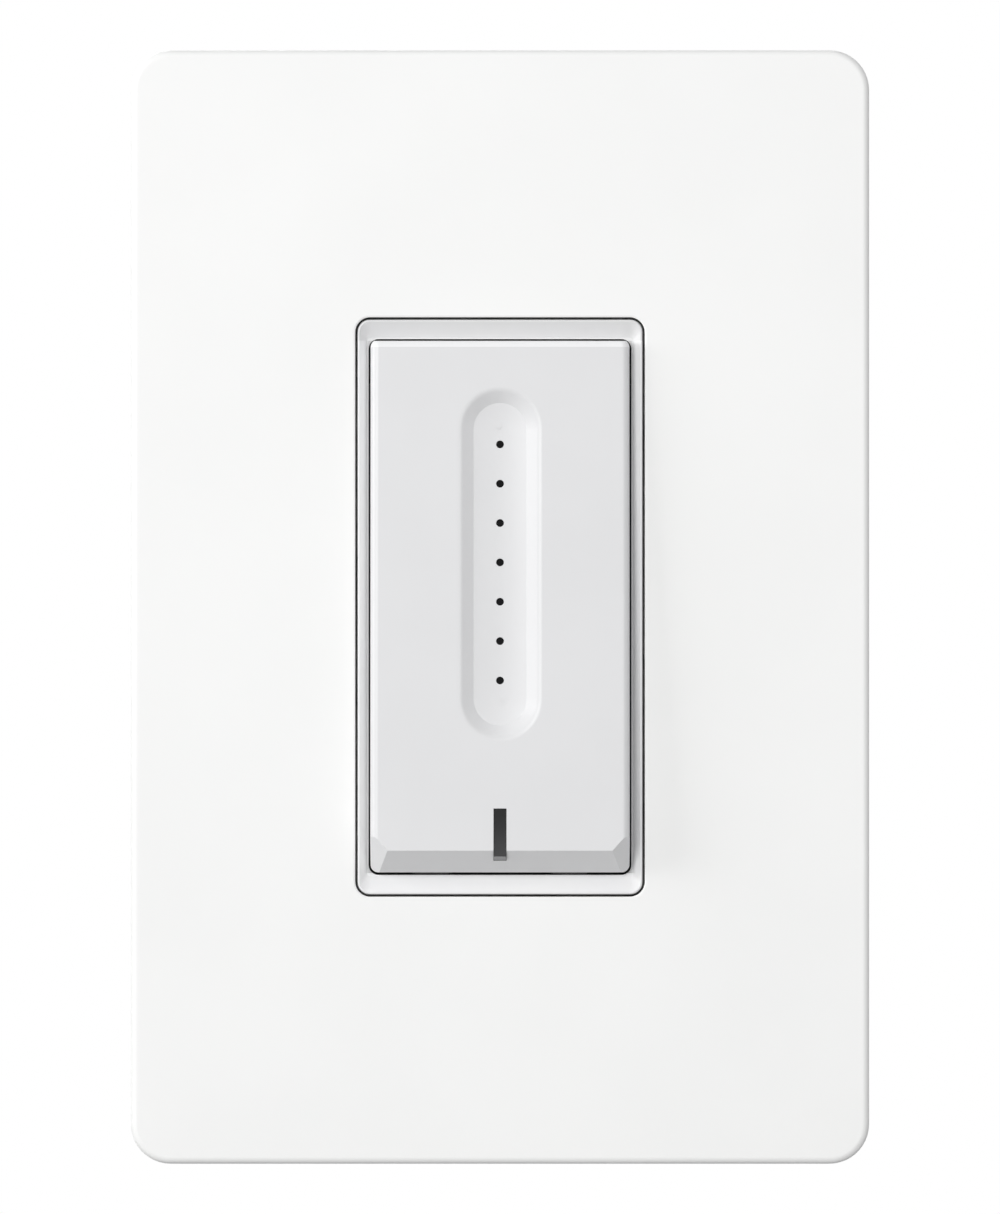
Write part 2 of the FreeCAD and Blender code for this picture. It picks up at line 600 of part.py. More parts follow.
BOSSES = four_places("boss_across", "boss_level")
SPRINGS = both_sides("spring_across", "-spring_level")
TRANSISTORS = ("transistor_across", "-transistor_across")
LEVELS = [f"(light_level + {i - LIGHTS // 2} * light_pitch)" for i in range(LIGHTS)]
STAKES = (both_sides("rail_across", "touch_board_top - plug_length - stake_inset")
          + both_sides("rail_across", "stake_inset - touch_board_foot"))
HEADER = [(f"({i} - {HEADER_PINS - 1} / 2) * header_pitch", "-header_level") for i in range(HEADER_PINS)]
TERMINAL_LEVELS = ("terminal_level", "-terminal_level")
TERMINALS = [(side, level) for side in (1, -1) for level in TERMINAL_LEVELS]
RADIO = ("0", "radio_level")
HOOK_ACROSS = "(plate_width / 2 - hook_inset)"
BOX_SCREWS = [("0", f"{side} * box_screw_spacing / 2") for side in (1, -1)]
CLIP_SCREWS = [("0", f"{side} * clip_screw_spacing / 2") for side in (1, -1)]
PLATE_INSIDE = "(plate_depth - plate_wall)"
CLIP_FRONT = "(strap_thick + clip_thick)"
CLIP_CONE = "(strap_thick + clip_thick - (clip_screw_head - clip_screw) / 2)"
FLOOR_FRONT = "(strap_thick + floor_thick)"
BOARD_FRONT = "(strap_thick + floor_thick + board_thick)"
BOSS_TOP = "(strap_thick + floor_thick + boss_height)"
BEZEL_FRONT = "(strap_thick + bezel_height)"
LEDGE = "(strap_thick + bezel_height - bezel_slope_depth)"
OPENING_WIDTH = "(paddle_width + 2 * paddle_gap)"
OPENING_HEIGHT = "(paddle_height + 2 * paddle_gap)"
BEZEL_WIDTH = "(paddle_width + 2 * paddle_gap + 2 * bezel_side)"
BEZEL_HEIGHT = "(paddle_height + 2 * paddle_gap + 2 * bezel_end)"
PADDLE_BACK = f"({BOARD_FRONT} + paddle_lift)"
PADDLE_FRONT = f"({PADDLE_BACK} + paddle_depth)"
PADDLE_INSIDE = f"({PADDLE_FRONT} - paddle_front_wall)"
PIVOT_DEPTH = f"({PADDLE_BACK} + pivot_inset)"
KEEPER_BACK = f"({PADDLE_BACK} - keeper_thick)"
BEVEL_TOP = "(bevel_height - paddle_height / 2)"
GROOVE_FLOOR = f"({PADDLE_FRONT} - groove_depth)"
RAIL_BACK = f"({PADDLE_INSIDE} - rail_height)"
TOUCH_BOARD_BACK = f"({RAIL_BACK} - touch_board_thick)"
PLUG_FOOT = "(touch_board_top - plug_length)"
RIBBON_BACK = f"({BOARD_FRONT} + plug_thick / 2)"
PRESSER_TIP = f"({PADDLE_INSIDE} - presser_length)"
STRAP_WIDTH = "(housing_width + 2 * strap_margin)"
STRAP_HEIGHT = "(housing_height + 2 * strap_end_margin)"
TAB_ACROSS = f"(tab_inset - {STRAP_WIDTH} / 2)"
FIN_LEVEL = "(strap_window_height / 2)"
POWER_BOARD = "(-power_board_behind)"
POWER_BOARD_BACK = "(-power_board_behind - power_board_thick)"
LEG_TIP = "(-power_board_behind - power_board_thick - leg_stand)"
HOUSING_INSIDE = "(housing_back - housing_reach)"
POCKET_FLOOR = "(housing_width / 2 - pocket_depth)"
TERMINAL_DEPTH = "(-terminal_behind)"
PLATE_OUTSIDE = f"({POCKET_FLOOR} + terminal_thick)"
TAIL_LEG = f"({POCKET_FLOOR} - pocket_wall - tail_leg_gap - terminal_thick)"
PARTS_SIDE = f"({TAIL_LEG} - parts_gap)"
CLAMP_INSIDE = f"({PLATE_OUTSIDE} + wire_space)"
CLAMP_OUTSIDE = f"({CLAMP_INSIDE} + clamp_thick)"
TRANSISTOR_TOP = f"({FIN_LEVEL} - pad_thick)"
TRANSISTOR_HOLE = "(-transistor_behind - transistor_hole_behind)"
TRANSISTOR_BODY = "(-transistor_behind - transistor_tab_length)"
TRANSISTOR_END = "(-transistor_behind - transistor_tab_length - transistor_length)"
TRANSISTOR_LEG = f"({TRANSISTOR_TOP} - transistor_leg_drop)"
TRANSISTOR_LEGS = [(f"{across} + {leg} * transistor_leg_pitch", TRANSISTOR_LEG)
                   for across in TRANSISTORS for leg in (-1, 0, 1)]


def lift_at(level, travel="press_angle"):
    """How far a point of the paddle at this level moves out from where it is drawn, fully so at rest."""
    return f"((pivot_level - ({level})) * tan((paddle_lean + {travel}) * 1 deg))"


def lean_back(piece):
    """Moves a piece of the paddle from where it is drawn to its place at rest."""
    pivot = FreeCAD.Vector(0, -value(PIVOT_DEPTH), value("pivot_level"))
    turn = FreeCAD.Rotation(FreeCAD.Vector(1, 0, 0), -value("paddle_lean + press_angle"))
    piece.body.Placement = FreeCAD.Placement(FreeCAD.Vector(), turn, pivot)


def wall_plate():
    """The cover that shows: a shallow tray with a window, and four hooks that clip into its frame."""
    plate = Piece("wall_plate")
    plate.add("front", "0", "plate_depth", rounded("plate_width", "plate_height", "plate_corner"))
    plate.cut("front", "0", PLATE_INSIDE, rounded("plate_width - 2 * plate_wall",
              "plate_height - 2 * plate_wall", "plate_corner - plate_wall"))
    plate.round_off("plate_edge", flat_at("plate_depth"))
    window = (f"{BEZEL_WIDTH} + 2 * window_gap", f"{BEZEL_HEIGHT} + 2 * window_gap")
    plate.cut("front", PLATE_INSIDE, "plate_depth", rounded(*window, "bezel_corner + window_gap"))
    plate.round_off("window_edge", flat_at("plate_depth", inside=window))
    catch = "(strap_thick - hook_slack)"
    tip = f"({catch} - barb_depth)"
    for side in (1, -1):
        inner = f"({HOOK_ACROSS} - hook_thick / 2)"
        outer = f"({HOOK_ACROSS} + hook_thick / 2)"
        barb = f"({outer} + hook_barb)"
        places = [(inner, PLATE_INSIDE), (inner, tip), (outer, tip), (barb, f"({tip} + {catch}) / 2"),
                  (barb, catch), (outer, catch), (outer, PLATE_INSIDE)]
        arm = outline(*((f"{side} * {across}", depth) for across, depth in places))
        for level in (1, -1):
            middle = f"{level} * hook_level"
            plate.add("top", f"{middle} - hook_length / 2", f"{middle} + hook_length / 2", arm)


def plate_frame():
    """The frame behind the wall plate: a flange on the strap, a rim to the wall and slots for the hooks."""
    frame = Piece("plate_frame")
    wide, tall = (f"{size} - 2 * (plate_wall + clip_inset)" for size in ("plate_width", "plate_height"))
    frame.add("front", "0", CLIP_FRONT, rounded(wide, tall, "clip_corner"))
    frame.cut("front", "0", "strap_thick", rounded(f"{wide} - 2 * clip_rim", f"{tall} - 2 * clip_rim",
              "clip_corner - clip_rim"))
    frame.cut("front", "strap_thick", CLIP_FRONT, rounded(f"{BEZEL_WIDTH} + 2 * clip_window_gap",
              f"{BEZEL_HEIGHT} + 2 * clip_window_gap", "clip_window_corner"))
    inner = f"({HOOK_ACROSS} - hook_thick / 2 - hook_barb - hook_clearance)"
    outer = f"({HOOK_ACROSS} + hook_thick / 2 + hook_clearance)"
    slot = (f"{outer} - {inner}", "hook_length + 2 * hook_clearance")
    places = four_places(f"({inner} + {outer}) / 2", "hook_level")
    frame.cut("front", "strap_thick", CLIP_FRONT, *(box(*slot, place) for place in places),
              *(disc("box_screw_opening", place) for place in BOX_SCREWS))
    for place in CLIP_SCREWS:
        hole, head = "(clip_screw + thread_play) / 2", "(clip_screw_head + thread_play) / 2"
        frame.turned(place, ("0", "strap_thick"), (hole, "strap_thick"), (hole, CLIP_CONE),
                     (head, CLIP_FRONT), ("0", CLIP_FRONT), cut=True)


def plate_frame_screws():
    """Two flat-headed screws that hold the plate frame to the strap."""
    screws = Piece("plate_frame_screws", solids=2)
    radius, tip = "clip_screw / 2", "-clip_screw_reach"
    for place in CLIP_SCREWS:
        screws.turned(place, ("0", tip), (f"{radius} - screw_tip", tip), (radius, f"{tip} + screw_tip"),
                      (radius, CLIP_CONE), ("clip_screw_head / 2", CLIP_FRONT), ("0", CLIP_FRONT))
    screws.cut("front", f"{CLIP_FRONT} - head_slot_depth", CLIP_FRONT,
               *(box("clip_screw_head", "head_slot", place) for place in CLIP_SCREWS))


def mounting_strap():
    """The metal strap that carries everything, with its ears, heat fin and ground tab."""
    strap = Piece("mounting_strap")
    strap.add("front", "0", "strap_thick", rounded(STRAP_WIDTH, STRAP_HEIGHT, "strap_corner"))
    strap.add("front", "0", "strap_thick", box("ear_width", "2 * ear_reach"))
    lobes = four_places("lobe_across", "lobe_level")
    strap.add("front", "0", "strap_thick", *(disc("lobe_diameter", lobe) for lobe in lobes))
    strap.cut("front", "0", "strap_thick", box("strap_window_width", "strap_window_height"),
              *(disc("lobe_bore", lobe) for lobe in lobes),
              *(disc("housing_screw + housing_screw_play", boss) for boss in BOSSES),
              *(disc("clip_screw + thread_play", place) for place in CLIP_SCREWS),
              *(stadium("slot_length", "slot_width", False, place) for place in BOX_SCREWS))
    fin = outline(("strap_thick", FIN_LEVEL), ("strap_thick", f"{FIN_LEVEL} + strap_thick"),
                  ("-fin_reach", f"{FIN_LEVEL} + strap_thick"), ("-fin_reach", FIN_LEVEL))
    strap.add("side", "-fin_width / 2", "fin_width / 2", fin)
    strap.round_off("fin_bend", bend_line)
    strap.cut("top", FIN_LEVEL, f"{FIN_LEVEL} + strap_thick",
              *(disc("transistor_screw + thread_play", (across, TRANSISTOR_HOLE)) for across in TRANSISTORS))
    tab_left, tab_right = f"{TAB_ACROSS} - tab_width / 2", f"{TAB_ACROSS} + tab_width / 2"
    strap.add("top", f"-{STRAP_HEIGHT} / 2 - strap_thick", f"-{STRAP_HEIGHT} / 2",
              span(tab_left, tab_right, "-tab_reach", "strap_thick"))
    strap.cut("top", f"-{STRAP_HEIGHT} / 2 - strap_thick", f"-{STRAP_HEIGHT} / 2",
              disc("clip_screw + thread_play", (TAB_ACROSS, "-ground_screw_behind")))


def bend_line(edge):
    """The edge where the fin's upper face leaves the strap's back."""
    level = value(FIN_LEVEL) + value("strap_thick")
    ends = (edge.BoundBox.ZMin, edge.BoundBox.ZMax)
    return flat_at("0")(edge) and max(abs(end - level) for end in ends) < SMALL


def ground_screw():
    """The ground terminal's hexagon-headed screw, backed off to take a wire."""
    screw = Piece("ground_screw")
    tab_foot = f"(-{STRAP_HEIGHT} / 2 - strap_thick)"
    seat = f"({tab_foot} - ground_backed_off)"
    foot = f"({seat} - ground_head_thick)"
    across, behind = TAB_ACROSS, "-ground_screw_behind"
    radius = "ground_head / 2"
    corners = [(f"{across} + {radius} * cos({turn} deg)", f"{behind} + {radius} * sin({turn} deg)")
               for turn in range(0, 360, 60)]
    screw.add("top", foot, seat, outline(*corners))
    screw.add("top", seat, f"ground_screw_stand - {STRAP_HEIGHT} / 2", disc("clip_screw", (across, behind)))
    screw.cut("top", foot, f"{foot} + head_slot_depth", box("ground_head", "head_slot", (across, behind)))


def box_screws():
    """The two screws that fasten the device to its wall box, with a plain neck under the head."""
    screws = Piece("box_screws", solids=2)
    head, tip = "strap_thick + box_head_thick", "-box_reach"
    stud, neck, rim = "box_stud / 2", "box_neck / 2", "box_head / 2"
    for place in BOX_SCREWS:
        screws.turned(place, ("0", tip), (f"{stud} - screw_tip", tip), (stud, f"{tip} + screw_tip"),
                      (stud, "-stud_start"), (neck, "-stud_start"), (neck, "strap_thick"),
                      (rim, "strap_thick"), (rim, f"{head} - box_head_crown"),
                      (f"{rim} - box_head_crown", head), ("0", head))
    screws.cut("front", f"{head} - head_slot_depth", head,
               *(box("box_head", "head_slot", place) for place in BOX_SCREWS))


def screw_retainers():
    """Two fibre washers behind the strap that keep the box screws from falling out."""
    washers = Piece("screw_retainers", solids=2)
    washers.add("front", "-washer_thick", "0", *(disc("washer_diameter", place) for place in BOX_SCREWS),
                *(disc("box_neck + washer_play", place) for place in BOX_SCREWS))


def face_frame():
    """The bezel: a framed tray that the paddle swings in, screwed to the strap from behind."""
    frame = Piece("face_frame")
    frame.add("front", "strap_thick", BEZEL_FRONT, rounded(BEZEL_WIDTH, BEZEL_HEIGHT, "bezel_corner"))
    frame.round_off("bezel_edge", flat_at(BEZEL_FRONT))
    mouth = (f"{BEZEL_WIDTH} - 2 * bezel_land", f"{BEZEL_HEIGHT} - 2 * bezel_land")
    foot = (f"{mouth[0]} - 2 * bezel_slope_width", f"{mouth[1]} - 2 * bezel_end_slope")
    frame.cut_between("front", BEZEL_FRONT, rounded(*mouth, "bezel_corner - bezel_land"),
                      LEDGE, rounded(*foot, "bezel_corner - bezel_land - bezel_slope_width"))
    frame.cut("front", FLOOR_FRONT, LEDGE,
              rounded(OPENING_WIDTH, OPENING_HEIGHT, "paddle_corner + paddle_gap"))
    frame.cut("front", "strap_thick", FLOOR_FRONT,
              box("header_window_width", "header_window_height", ("0", "-header_level")))
    frame.add("front", FLOOR_FRONT, BOSS_TOP, *(disc("boss_diameter", boss) for boss in BOSSES))
    frame.add("front", FLOOR_FRONT, f"{FLOOR_FRONT} + peg_height",
              *(disc("peg_diameter", peg) for peg in SPRINGS))
    frame.cut("front", "strap_thick", "housing_screw_reach + housing_screw_tip_room",
              *(disc("housing_screw + thread_play / 2", boss) for boss in BOSSES))
    socket = disc("pivot_pin + pivot_play", (PIVOT_DEPTH, "pivot_level"))
    frame.cut("side", f"{OPENING_WIDTH} / 2", f"{BEZEL_WIDTH} / 2", socket)
    frame.cut("side", f"-{BEZEL_WIDTH} / 2", f"-{OPENING_WIDTH} / 2", socket)
    foot_wall = f"(-{OPENING_HEIGHT} / 2)"
    keeper_tip = "(-paddle_height / 2 - keeper_reach - keeper_play)"
    stop = f"{PADDLE_BACK} + {lift_at('-paddle_height / 2 - keeper_reach')} + keeper_stop_play"
    for side in (1, -1):
        low, high = (f"{side} * keeper_across {sign} (keeper_width / 2 + keeper_play)" for sign in "-+")
        frame.cut("side", low, high, span(f"{KEEPER_BACK} - keeper_play", stop, keeper_tip, foot_wall))


def paddle():
    """The rocker that the hand presses: a hollow front with a touch groove, pivots, keepers and pegs."""
    shell = Piece("paddle")
    shell.add("front", PADDLE_BACK, PADDLE_FRONT, rounded("paddle_width", "paddle_height", "paddle_corner"))
    shell.round_off("paddle_edge", flat_at(PADDLE_FRONT))
    square = "(paddle_height / 2 - paddle_depth * tan((paddle_lean + press_angle) * 1 deg))"
    shell.cut("side", "-paddle_width / 2", "paddle_width / 2", outline((PADDLE_BACK, "paddle_height / 2"),
              (PADDLE_FRONT, "paddle_height / 2"), (PADDLE_FRONT, square)))
    shell.cut("side", "-paddle_width / 2", "paddle_width / 2", outline((PADDLE_FRONT, BEVEL_TOP),
              (PADDLE_FRONT, "-paddle_height / 2"), (f"{PADDLE_FRONT} - bevel_depth", "-paddle_height / 2")))
    for side in (1, -1):
        mitre_bevel(shell, side)
    wall, side_face = "(paddle_width / 2 - paddle_side_wall)", "(paddle_width / 2)"
    head, foot = "(paddle_height / 2 - paddle_side_wall)", "(paddle_side_wall - paddle_height / 2)"
    behind_bevel = f"({PADDLE_INSIDE} - bevel_depth * ({BEVEL_TOP} - {foot}) / bevel_height)"
    shell.cut("side", f"-{wall}", wall, outline((PADDLE_BACK, foot), (PADDLE_BACK, head),
              (PADDLE_INSIDE, head), (PADDLE_INSIDE, BEVEL_TOP), (behind_bevel, foot)))
    touch_groove(shell)
    shell.cut("front", PADDLE_INSIDE, PADDLE_FRONT, *(disc("light_bore", ("0", level)) for level in LEVELS))
    shell.cut("front", f"{PADDLE_INSIDE} - bevel_depth", PADDLE_FRONT,
              span("-status_width / 2", "status_width / 2", "-status_foot", "-status_top"))
    lug = span(f"{PIVOT_DEPTH} - pivot_pin / 2", PADDLE_BACK,
               "pivot_level - pivot_lug / 2", "pivot_level + pivot_lug / 2")
    pin = disc("pivot_pin", (PIVOT_DEPTH, "pivot_level"))
    shell.add("side", wall, side_face, lug)
    shell.add("side", f"-{side_face}", f"-{wall}", lug)
    shell.add("side", side_face, f"{side_face} + pivot_reach", pin)
    shell.add("side", f"-{side_face} - pivot_reach", f"-{side_face}", pin)
    tip, root = "-paddle_height / 2 - keeper_reach", "-paddle_height / 2 + paddle_side_wall"
    for side in (1, -1):
        middle = f"{side} * keeper_across"
        shell.add("side", f"{middle} - keeper_width / 2", f"{middle} + keeper_width / 2",
                  span(KEEPER_BACK, PADDLE_BACK, tip, root))
    shell.add("front", PRESSER_TIP, PADDLE_INSIDE, disc("presser_diameter", ("0", "-presser_level")))
    shell.add("front", f"{PADDLE_INSIDE} - peg_height", PADDLE_INSIDE,
              *(disc("peg_diameter", peg) for peg in SPRINGS))
    for side in (1, -1):
        left, right = (f"{side} * rail_across {sign} rail_width / 2" for sign in "-+")
        shell.add("front", RAIL_BACK, PADDLE_INSIDE,
                  span(left, right, "rail_width - touch_board_foot", "touch_board_top - rail_width"))
    shell.add("front", f"{TOUCH_BOARD_BACK} - stake_stand", RAIL_BACK,
              *(disc("stake_diameter", stake) for stake in STAKES))
    lean_back(shell)


def mitre_bevel(shell, side):
    """Cuts a flat facet across one end of the bevel, so that it meets the rounded side in a mitre."""
    edge, past = "(paddle_width / 2)", "(mitre_top + bevel_depth)"
    top_start = f"({PADDLE_FRONT} - mitre_slope * mitre_top)"
    foot_start = f"({PADDLE_FRONT} - bevel_depth - mitre_slope * mitre_foot)"
    rise = f"(({top_start} - {foot_start}) / bevel_height)"
    inner, outer, clear = f"({edge} - 2 * {past})", f"({edge} + {past})", f"({PADDLE_FRONT} + 3 * {past})"
    levels = ("(-paddle_height / 2 - mitre_foot)", f"({BEVEL_TOP} + {past})")
    sections = []
    for level in levels:
        start = f"({top_start} + {rise} * ({level} - {BEVEL_TOP}))"
        corners = [(inner, f"{start} + mitre_slope * 2 * {past}"), (outer, f"{start} - mitre_slope * {past}"),
                   (outer, clear), (inner, clear)]
        sections.append(outline(*((f"{side} * {across}", depth) for across, depth in corners)))
    shell.cut_between("top", levels[1], sections[1], levels[0], sections[0])


def touch_groove(shell):
    """The long groove that the finger slides along, with sloping walls and a slightly hollow floor."""
    place = ("0", "groove_level")
    floor_length = "(groove_length - groove_width + groove_floor)"
    shell.cut_between("front", PADDLE_FRONT, stadium("groove_length", "groove_width", True, place),
                      GROOVE_FLOOR, stadium(floor_length, "groove_floor", True, place))
    mouth = ("groove_width", "groove_length + 2 * groove_level")
    shell.round_off("groove_edge", flat_at(PADDLE_FRONT, inside=mouth))
    reach = "(groove_length - groove_width) / 2"
    low, high = f"groove_level - {reach}", f"groove_level + {reach}"
    deepest = f"({GROOVE_FLOOR} - groove_hollow)"
    drawing = Drawing(shell, "top", high)
    drawing.hollow(("0", deepest), ("groove_floor / 2", GROOVE_FLOOR), ("-groove_floor / 2", GROOVE_FLOOR))
    trough = shell.feature("Pocket", drawing)
    trough.setExpression("Length", formula(f"({high}) - ({low})"))
    shell.settle(trough, growing=False)
    for level in (low, high):
        drawing = Drawing(shell, "side", "0")
        drawing.hollow((deepest, level), (GROOVE_FLOOR, f"{level} + groove_floor / 2"),
                       (GROOVE_FLOOR, level), (deepest, level))
        shell.revolve(drawing, [(PADDLE_FRONT, level), (PADDLE_INSIDE, level)], cut=True)


def level_light_guide():
    """The clear strip behind the groove, with a pin for each level light."""
    guide = Piece("level_light_guide")
    strip = span("-guide_width / 2", "guide_width / 2",
                 f"{LEVELS[0]} - guide_margin", f"{LEVELS[-1]} + guide_margin")
    guide.add("front", f"{PADDLE_INSIDE} - guide_thick", PADDLE_INSIDE, strip)
    guide.add("front", PADDLE_INSIDE, f"{GROOVE_FLOOR} - groove_hollow - light_sunk",
              *(disc("light_bore - light_play", ("0", level)) for level in LEVELS))
    lean_back(guide)


def level_leds():
    """The light chips on the touch board, one behind each pin of the light guide."""
    chips = Piece("level_leds", solids=LIGHTS)
    chips.add("front", RAIL_BACK, f"{RAIL_BACK} + chip_light_thick",
              *(box("chip_light_width", "chip_light_length", ("0", level)) for level in LEVELS))
    lean_back(chips)


def touch_board():
    """The narrow board behind the groove that senses the finger, staked to two rails in the paddle."""
    board = Piece("touch_board")
    board.add("front", TOUCH_BOARD_BACK, RAIL_BACK,
              span("-touch_board_width / 2", "touch_board_width / 2", "-touch_board_foot", "touch_board_top"))
    board.cut("front", TOUCH_BOARD_BACK, RAIL_BACK,
              *(disc("stake_diameter + stake_play", stake) for stake in STAKES))
    lean_back(board)


def ribbon_connector(name, back):
    """A connector for the ribbon, open at its upper end."""
    connector = Piece(name)
    middle = f"({back} + plug_thick / 2)"
    connector.add("front", back, f"{back} + plug_thick",
                  span("-plug_width / 2", "plug_width / 2", PLUG_FOOT, "touch_board_top"))
    slot_side = "(ribbon_width + plug_slot) / 2"
    slot = span(f"{middle} - plug_slot / 2", f"{middle} + plug_slot / 2",
                f"{PLUG_FOOT} + plug_wall", "touch_board_top")
    connector.cut("side", f"-{slot_side}", slot_side, slot)
    return connector


def touch_flex():
    """The flat ribbon that joins the two boards in a loose turn beside the pivot."""
    ribbon = Piece("touch_flex")
    back = RIBBON_BACK
    lift = lift_at("touch_board_top - plug_length / 2", "press_angle / 2")
    front = f"({TOUCH_BOARD_BACK} - plug_thick / 2 + {lift})"
    middle, turn_level = f"({back} + {front}) / 2", "(touch_board_top + ribbon_loop)"
    side = "ribbon_width / 2"
    outer = f"({front} - {back} + ribbon_thick)"
    ribbon.add("side", f"-{side}", side, disc(outer, (middle, turn_level)))
    ribbon.cut("side", f"-{side}", side, disc(f"({outer} - 2 * ribbon_thick)", (middle, turn_level)))
    lower_half = span(f"{back} - ribbon_thick", f"{front} + ribbon_thick",
                      f"{turn_level} - {outer}", turn_level)
    ribbon.cut("side", f"-{side}", side, lower_half)
    start = f"{PLUG_FOOT} + plug_wall + plug_slot"
    for depth in (back, front):
        leg = span(f"{depth} - ribbon_thick / 2", f"{depth} + ribbon_thick / 2", start, turn_level)
        ribbon.add("side", f"-{side}", side, leg)


def status_lens():
    """The smoked bar at the paddle's foot, its lower end sloping onto the bevel, on a leg for the light."""
    lens = Piece("status_lens")
    half = "(status_width / 2 - status_play)"
    face = f"({PADDLE_FRONT} - status_sunk)"
    on_bevel = f"({PADDLE_FRONT} - bevel_depth * ({BEVEL_TOP} + status_foot) / bevel_height)"
    top, foot = "(-status_top - status_play)", "(status_play - status_foot)"
    bar = outline((face, top), (face, "status_tip - status_foot"), (on_bevel, foot),
                  (PADDLE_INSIDE, foot), (PADDLE_INSIDE, top))
    lens.add("side", f"-{half}", half, bar)
    flange = f"({PADDLE_INSIDE} - status_flange_thick)"
    lens.add("front", flange, PADDLE_INSIDE,
             span("-status_flange / 2", "status_flange / 2", f"{BEVEL_TOP} + status_play",
                  "status_flange_past - status_top"))
    lens.add("front", f"{PADDLE_INSIDE} - status_leg", flange,
             box(f"2 * {half}", "status_flange", ("0", "-status_led_level")))
    lean_back(lens)


def switch_plunger():
    """The plunger that the paddle's presser pushes into the tact switch."""
    plunger = Piece("switch_plunger")
    place = ("0", "-presser_level")
    collar_front = f"({BOARD_FRONT} + switch_height - switch_lip - plunger_play / 2)"
    top = f"({PRESSER_TIP} + {lift_at('presser_diameter / 2 - presser_level')} - presser_play)"
    plunger.add("front", f"{collar_front} - plunger_collar_thick", collar_front,
                disc("plunger_collar", place))
    plunger.add("front", collar_front, top, disc("plunger_diameter", place))


def tact_switch():
    """The small switch that senses the paddle, hollow for its plunger and the plunger's collar."""
    switch = Piece("tact_switch")
    place = ("0", "-presser_level")
    front = f"({BOARD_FRONT} + switch_height)"
    lid = f"({front} - switch_lip)"
    switch.add("front", BOARD_FRONT, front, box("switch_size", "switch_size", place))
    switch.cut("front", lid, front, disc("plunger_diameter + 2 * plunger_play", place))
    switch.cut("front", f"{BOARD_FRONT} + switch_floor", lid,
               disc("plunger_collar + 2 * plunger_play", place))


def return_springs():
    """Two coil springs that hold the paddle's foot out, round the pegs on the bezel and the paddle."""
    springs = Piece("return_springs", solids=2)
    near_edge = "spring_diameter / 2 + spring_wire / 2 - spring_level"
    top = f"({PADDLE_INSIDE} + {lift_at(near_edge)} - spring_play)"
    start = f"({FLOOR_FRONT} + spring_wire / 2)"
    for across, level in SPRINGS:
        drawing = Drawing(springs, "top", level)
        axis = [(across, start), (across, top)]
        ends = [drawing.vector(point) for point in axis]
        centre_line = drawing.line(ends[0], ends[1], helping=True)
        for end, point in zip((1, 2), axis):
            drawing.pin(centre_line, end, point)
        drawing.disc((f"{across} + spring_diameter / 2", start), "spring_wire / 2")
        coil = springs.feature("AdditiveHelix", drawing)
        coil.ReferenceAxis = (drawing.sketch, ["Axis0"])
        coil.Mode = "pitch-height-angle"
        coil.Angle = 0
        coil.setExpression("Pitch", formula("spring_pitch"))
        coil.setExpression("Height", formula(f"{top} - spring_wire / 2 - {start}"))
        springs.settle(coil, growing=True)


def control_board():
    """The board on the bezel's floor, open round the bosses, the springs and the board link's pins."""
    board = Piece("control_board")
    board.add("front", FLOOR_FRONT, BOARD_FRONT,
              box(f"{OPENING_WIDTH} - 2 * board_side_gap", f"{OPENING_HEIGHT} - 2 * board_end_gap"))
    board.cut("front", FLOOR_FRONT, BOARD_FRONT,
              *(disc("boss_diameter + 2 * boss_play", boss) for boss in BOSSES),
              *(disc("spring_diameter + spring_wire + 2 * spring_room", spring) for spring in SPRINGS),
              *(box("header_pin + header_pin_play", "header_pin + header_pin_play", pin) for pin in HEADER))


def radio_module():
    """The small board with the radio, on the control board."""
    module = Piece("radio_module")
    module.add("front", BOARD_FRONT, f"{BOARD_FRONT} + radio_thick",
               box("radio_width", "radio_height", RADIO))


def radio_shield():
    """The metal can over the radio."""
    shield = Piece("radio_shield")
    base = f"({BOARD_FRONT} + radio_thick)"
    shield.add("front", base, f"{base} + shield_height", rounded("radio_width - 2 * shield_inset",
               "radio_height - 2 * shield_inset", "shield_corner", RADIO))


def status_led():
    """The light chip on the control board under the status lens."""
    chip = Piece("status_led")
    chip.add("front", BOARD_FRONT, f"{BOARD_FRONT} + chip_light_thick",
             box("chip_light_width", "chip_light_length", ("0", "-status_led_level")))


def link_header():
    """The row of pins that joins the power board to the control board, in its plastic body."""
    header = Piece("link_header")
    header.add("front", POWER_BOARD, f"{POWER_BOARD} + header_body_length",
               box(f"{HEADER_PINS} * header_pitch", "header_body_width", ("0", "-header_level")))
    header.add("front", f"{POWER_BOARD_BACK} - header_stand", f"{BOARD_FRONT} + header_stand",
               *(box("header_pin", "header_pin", pin) for pin in HEADER))


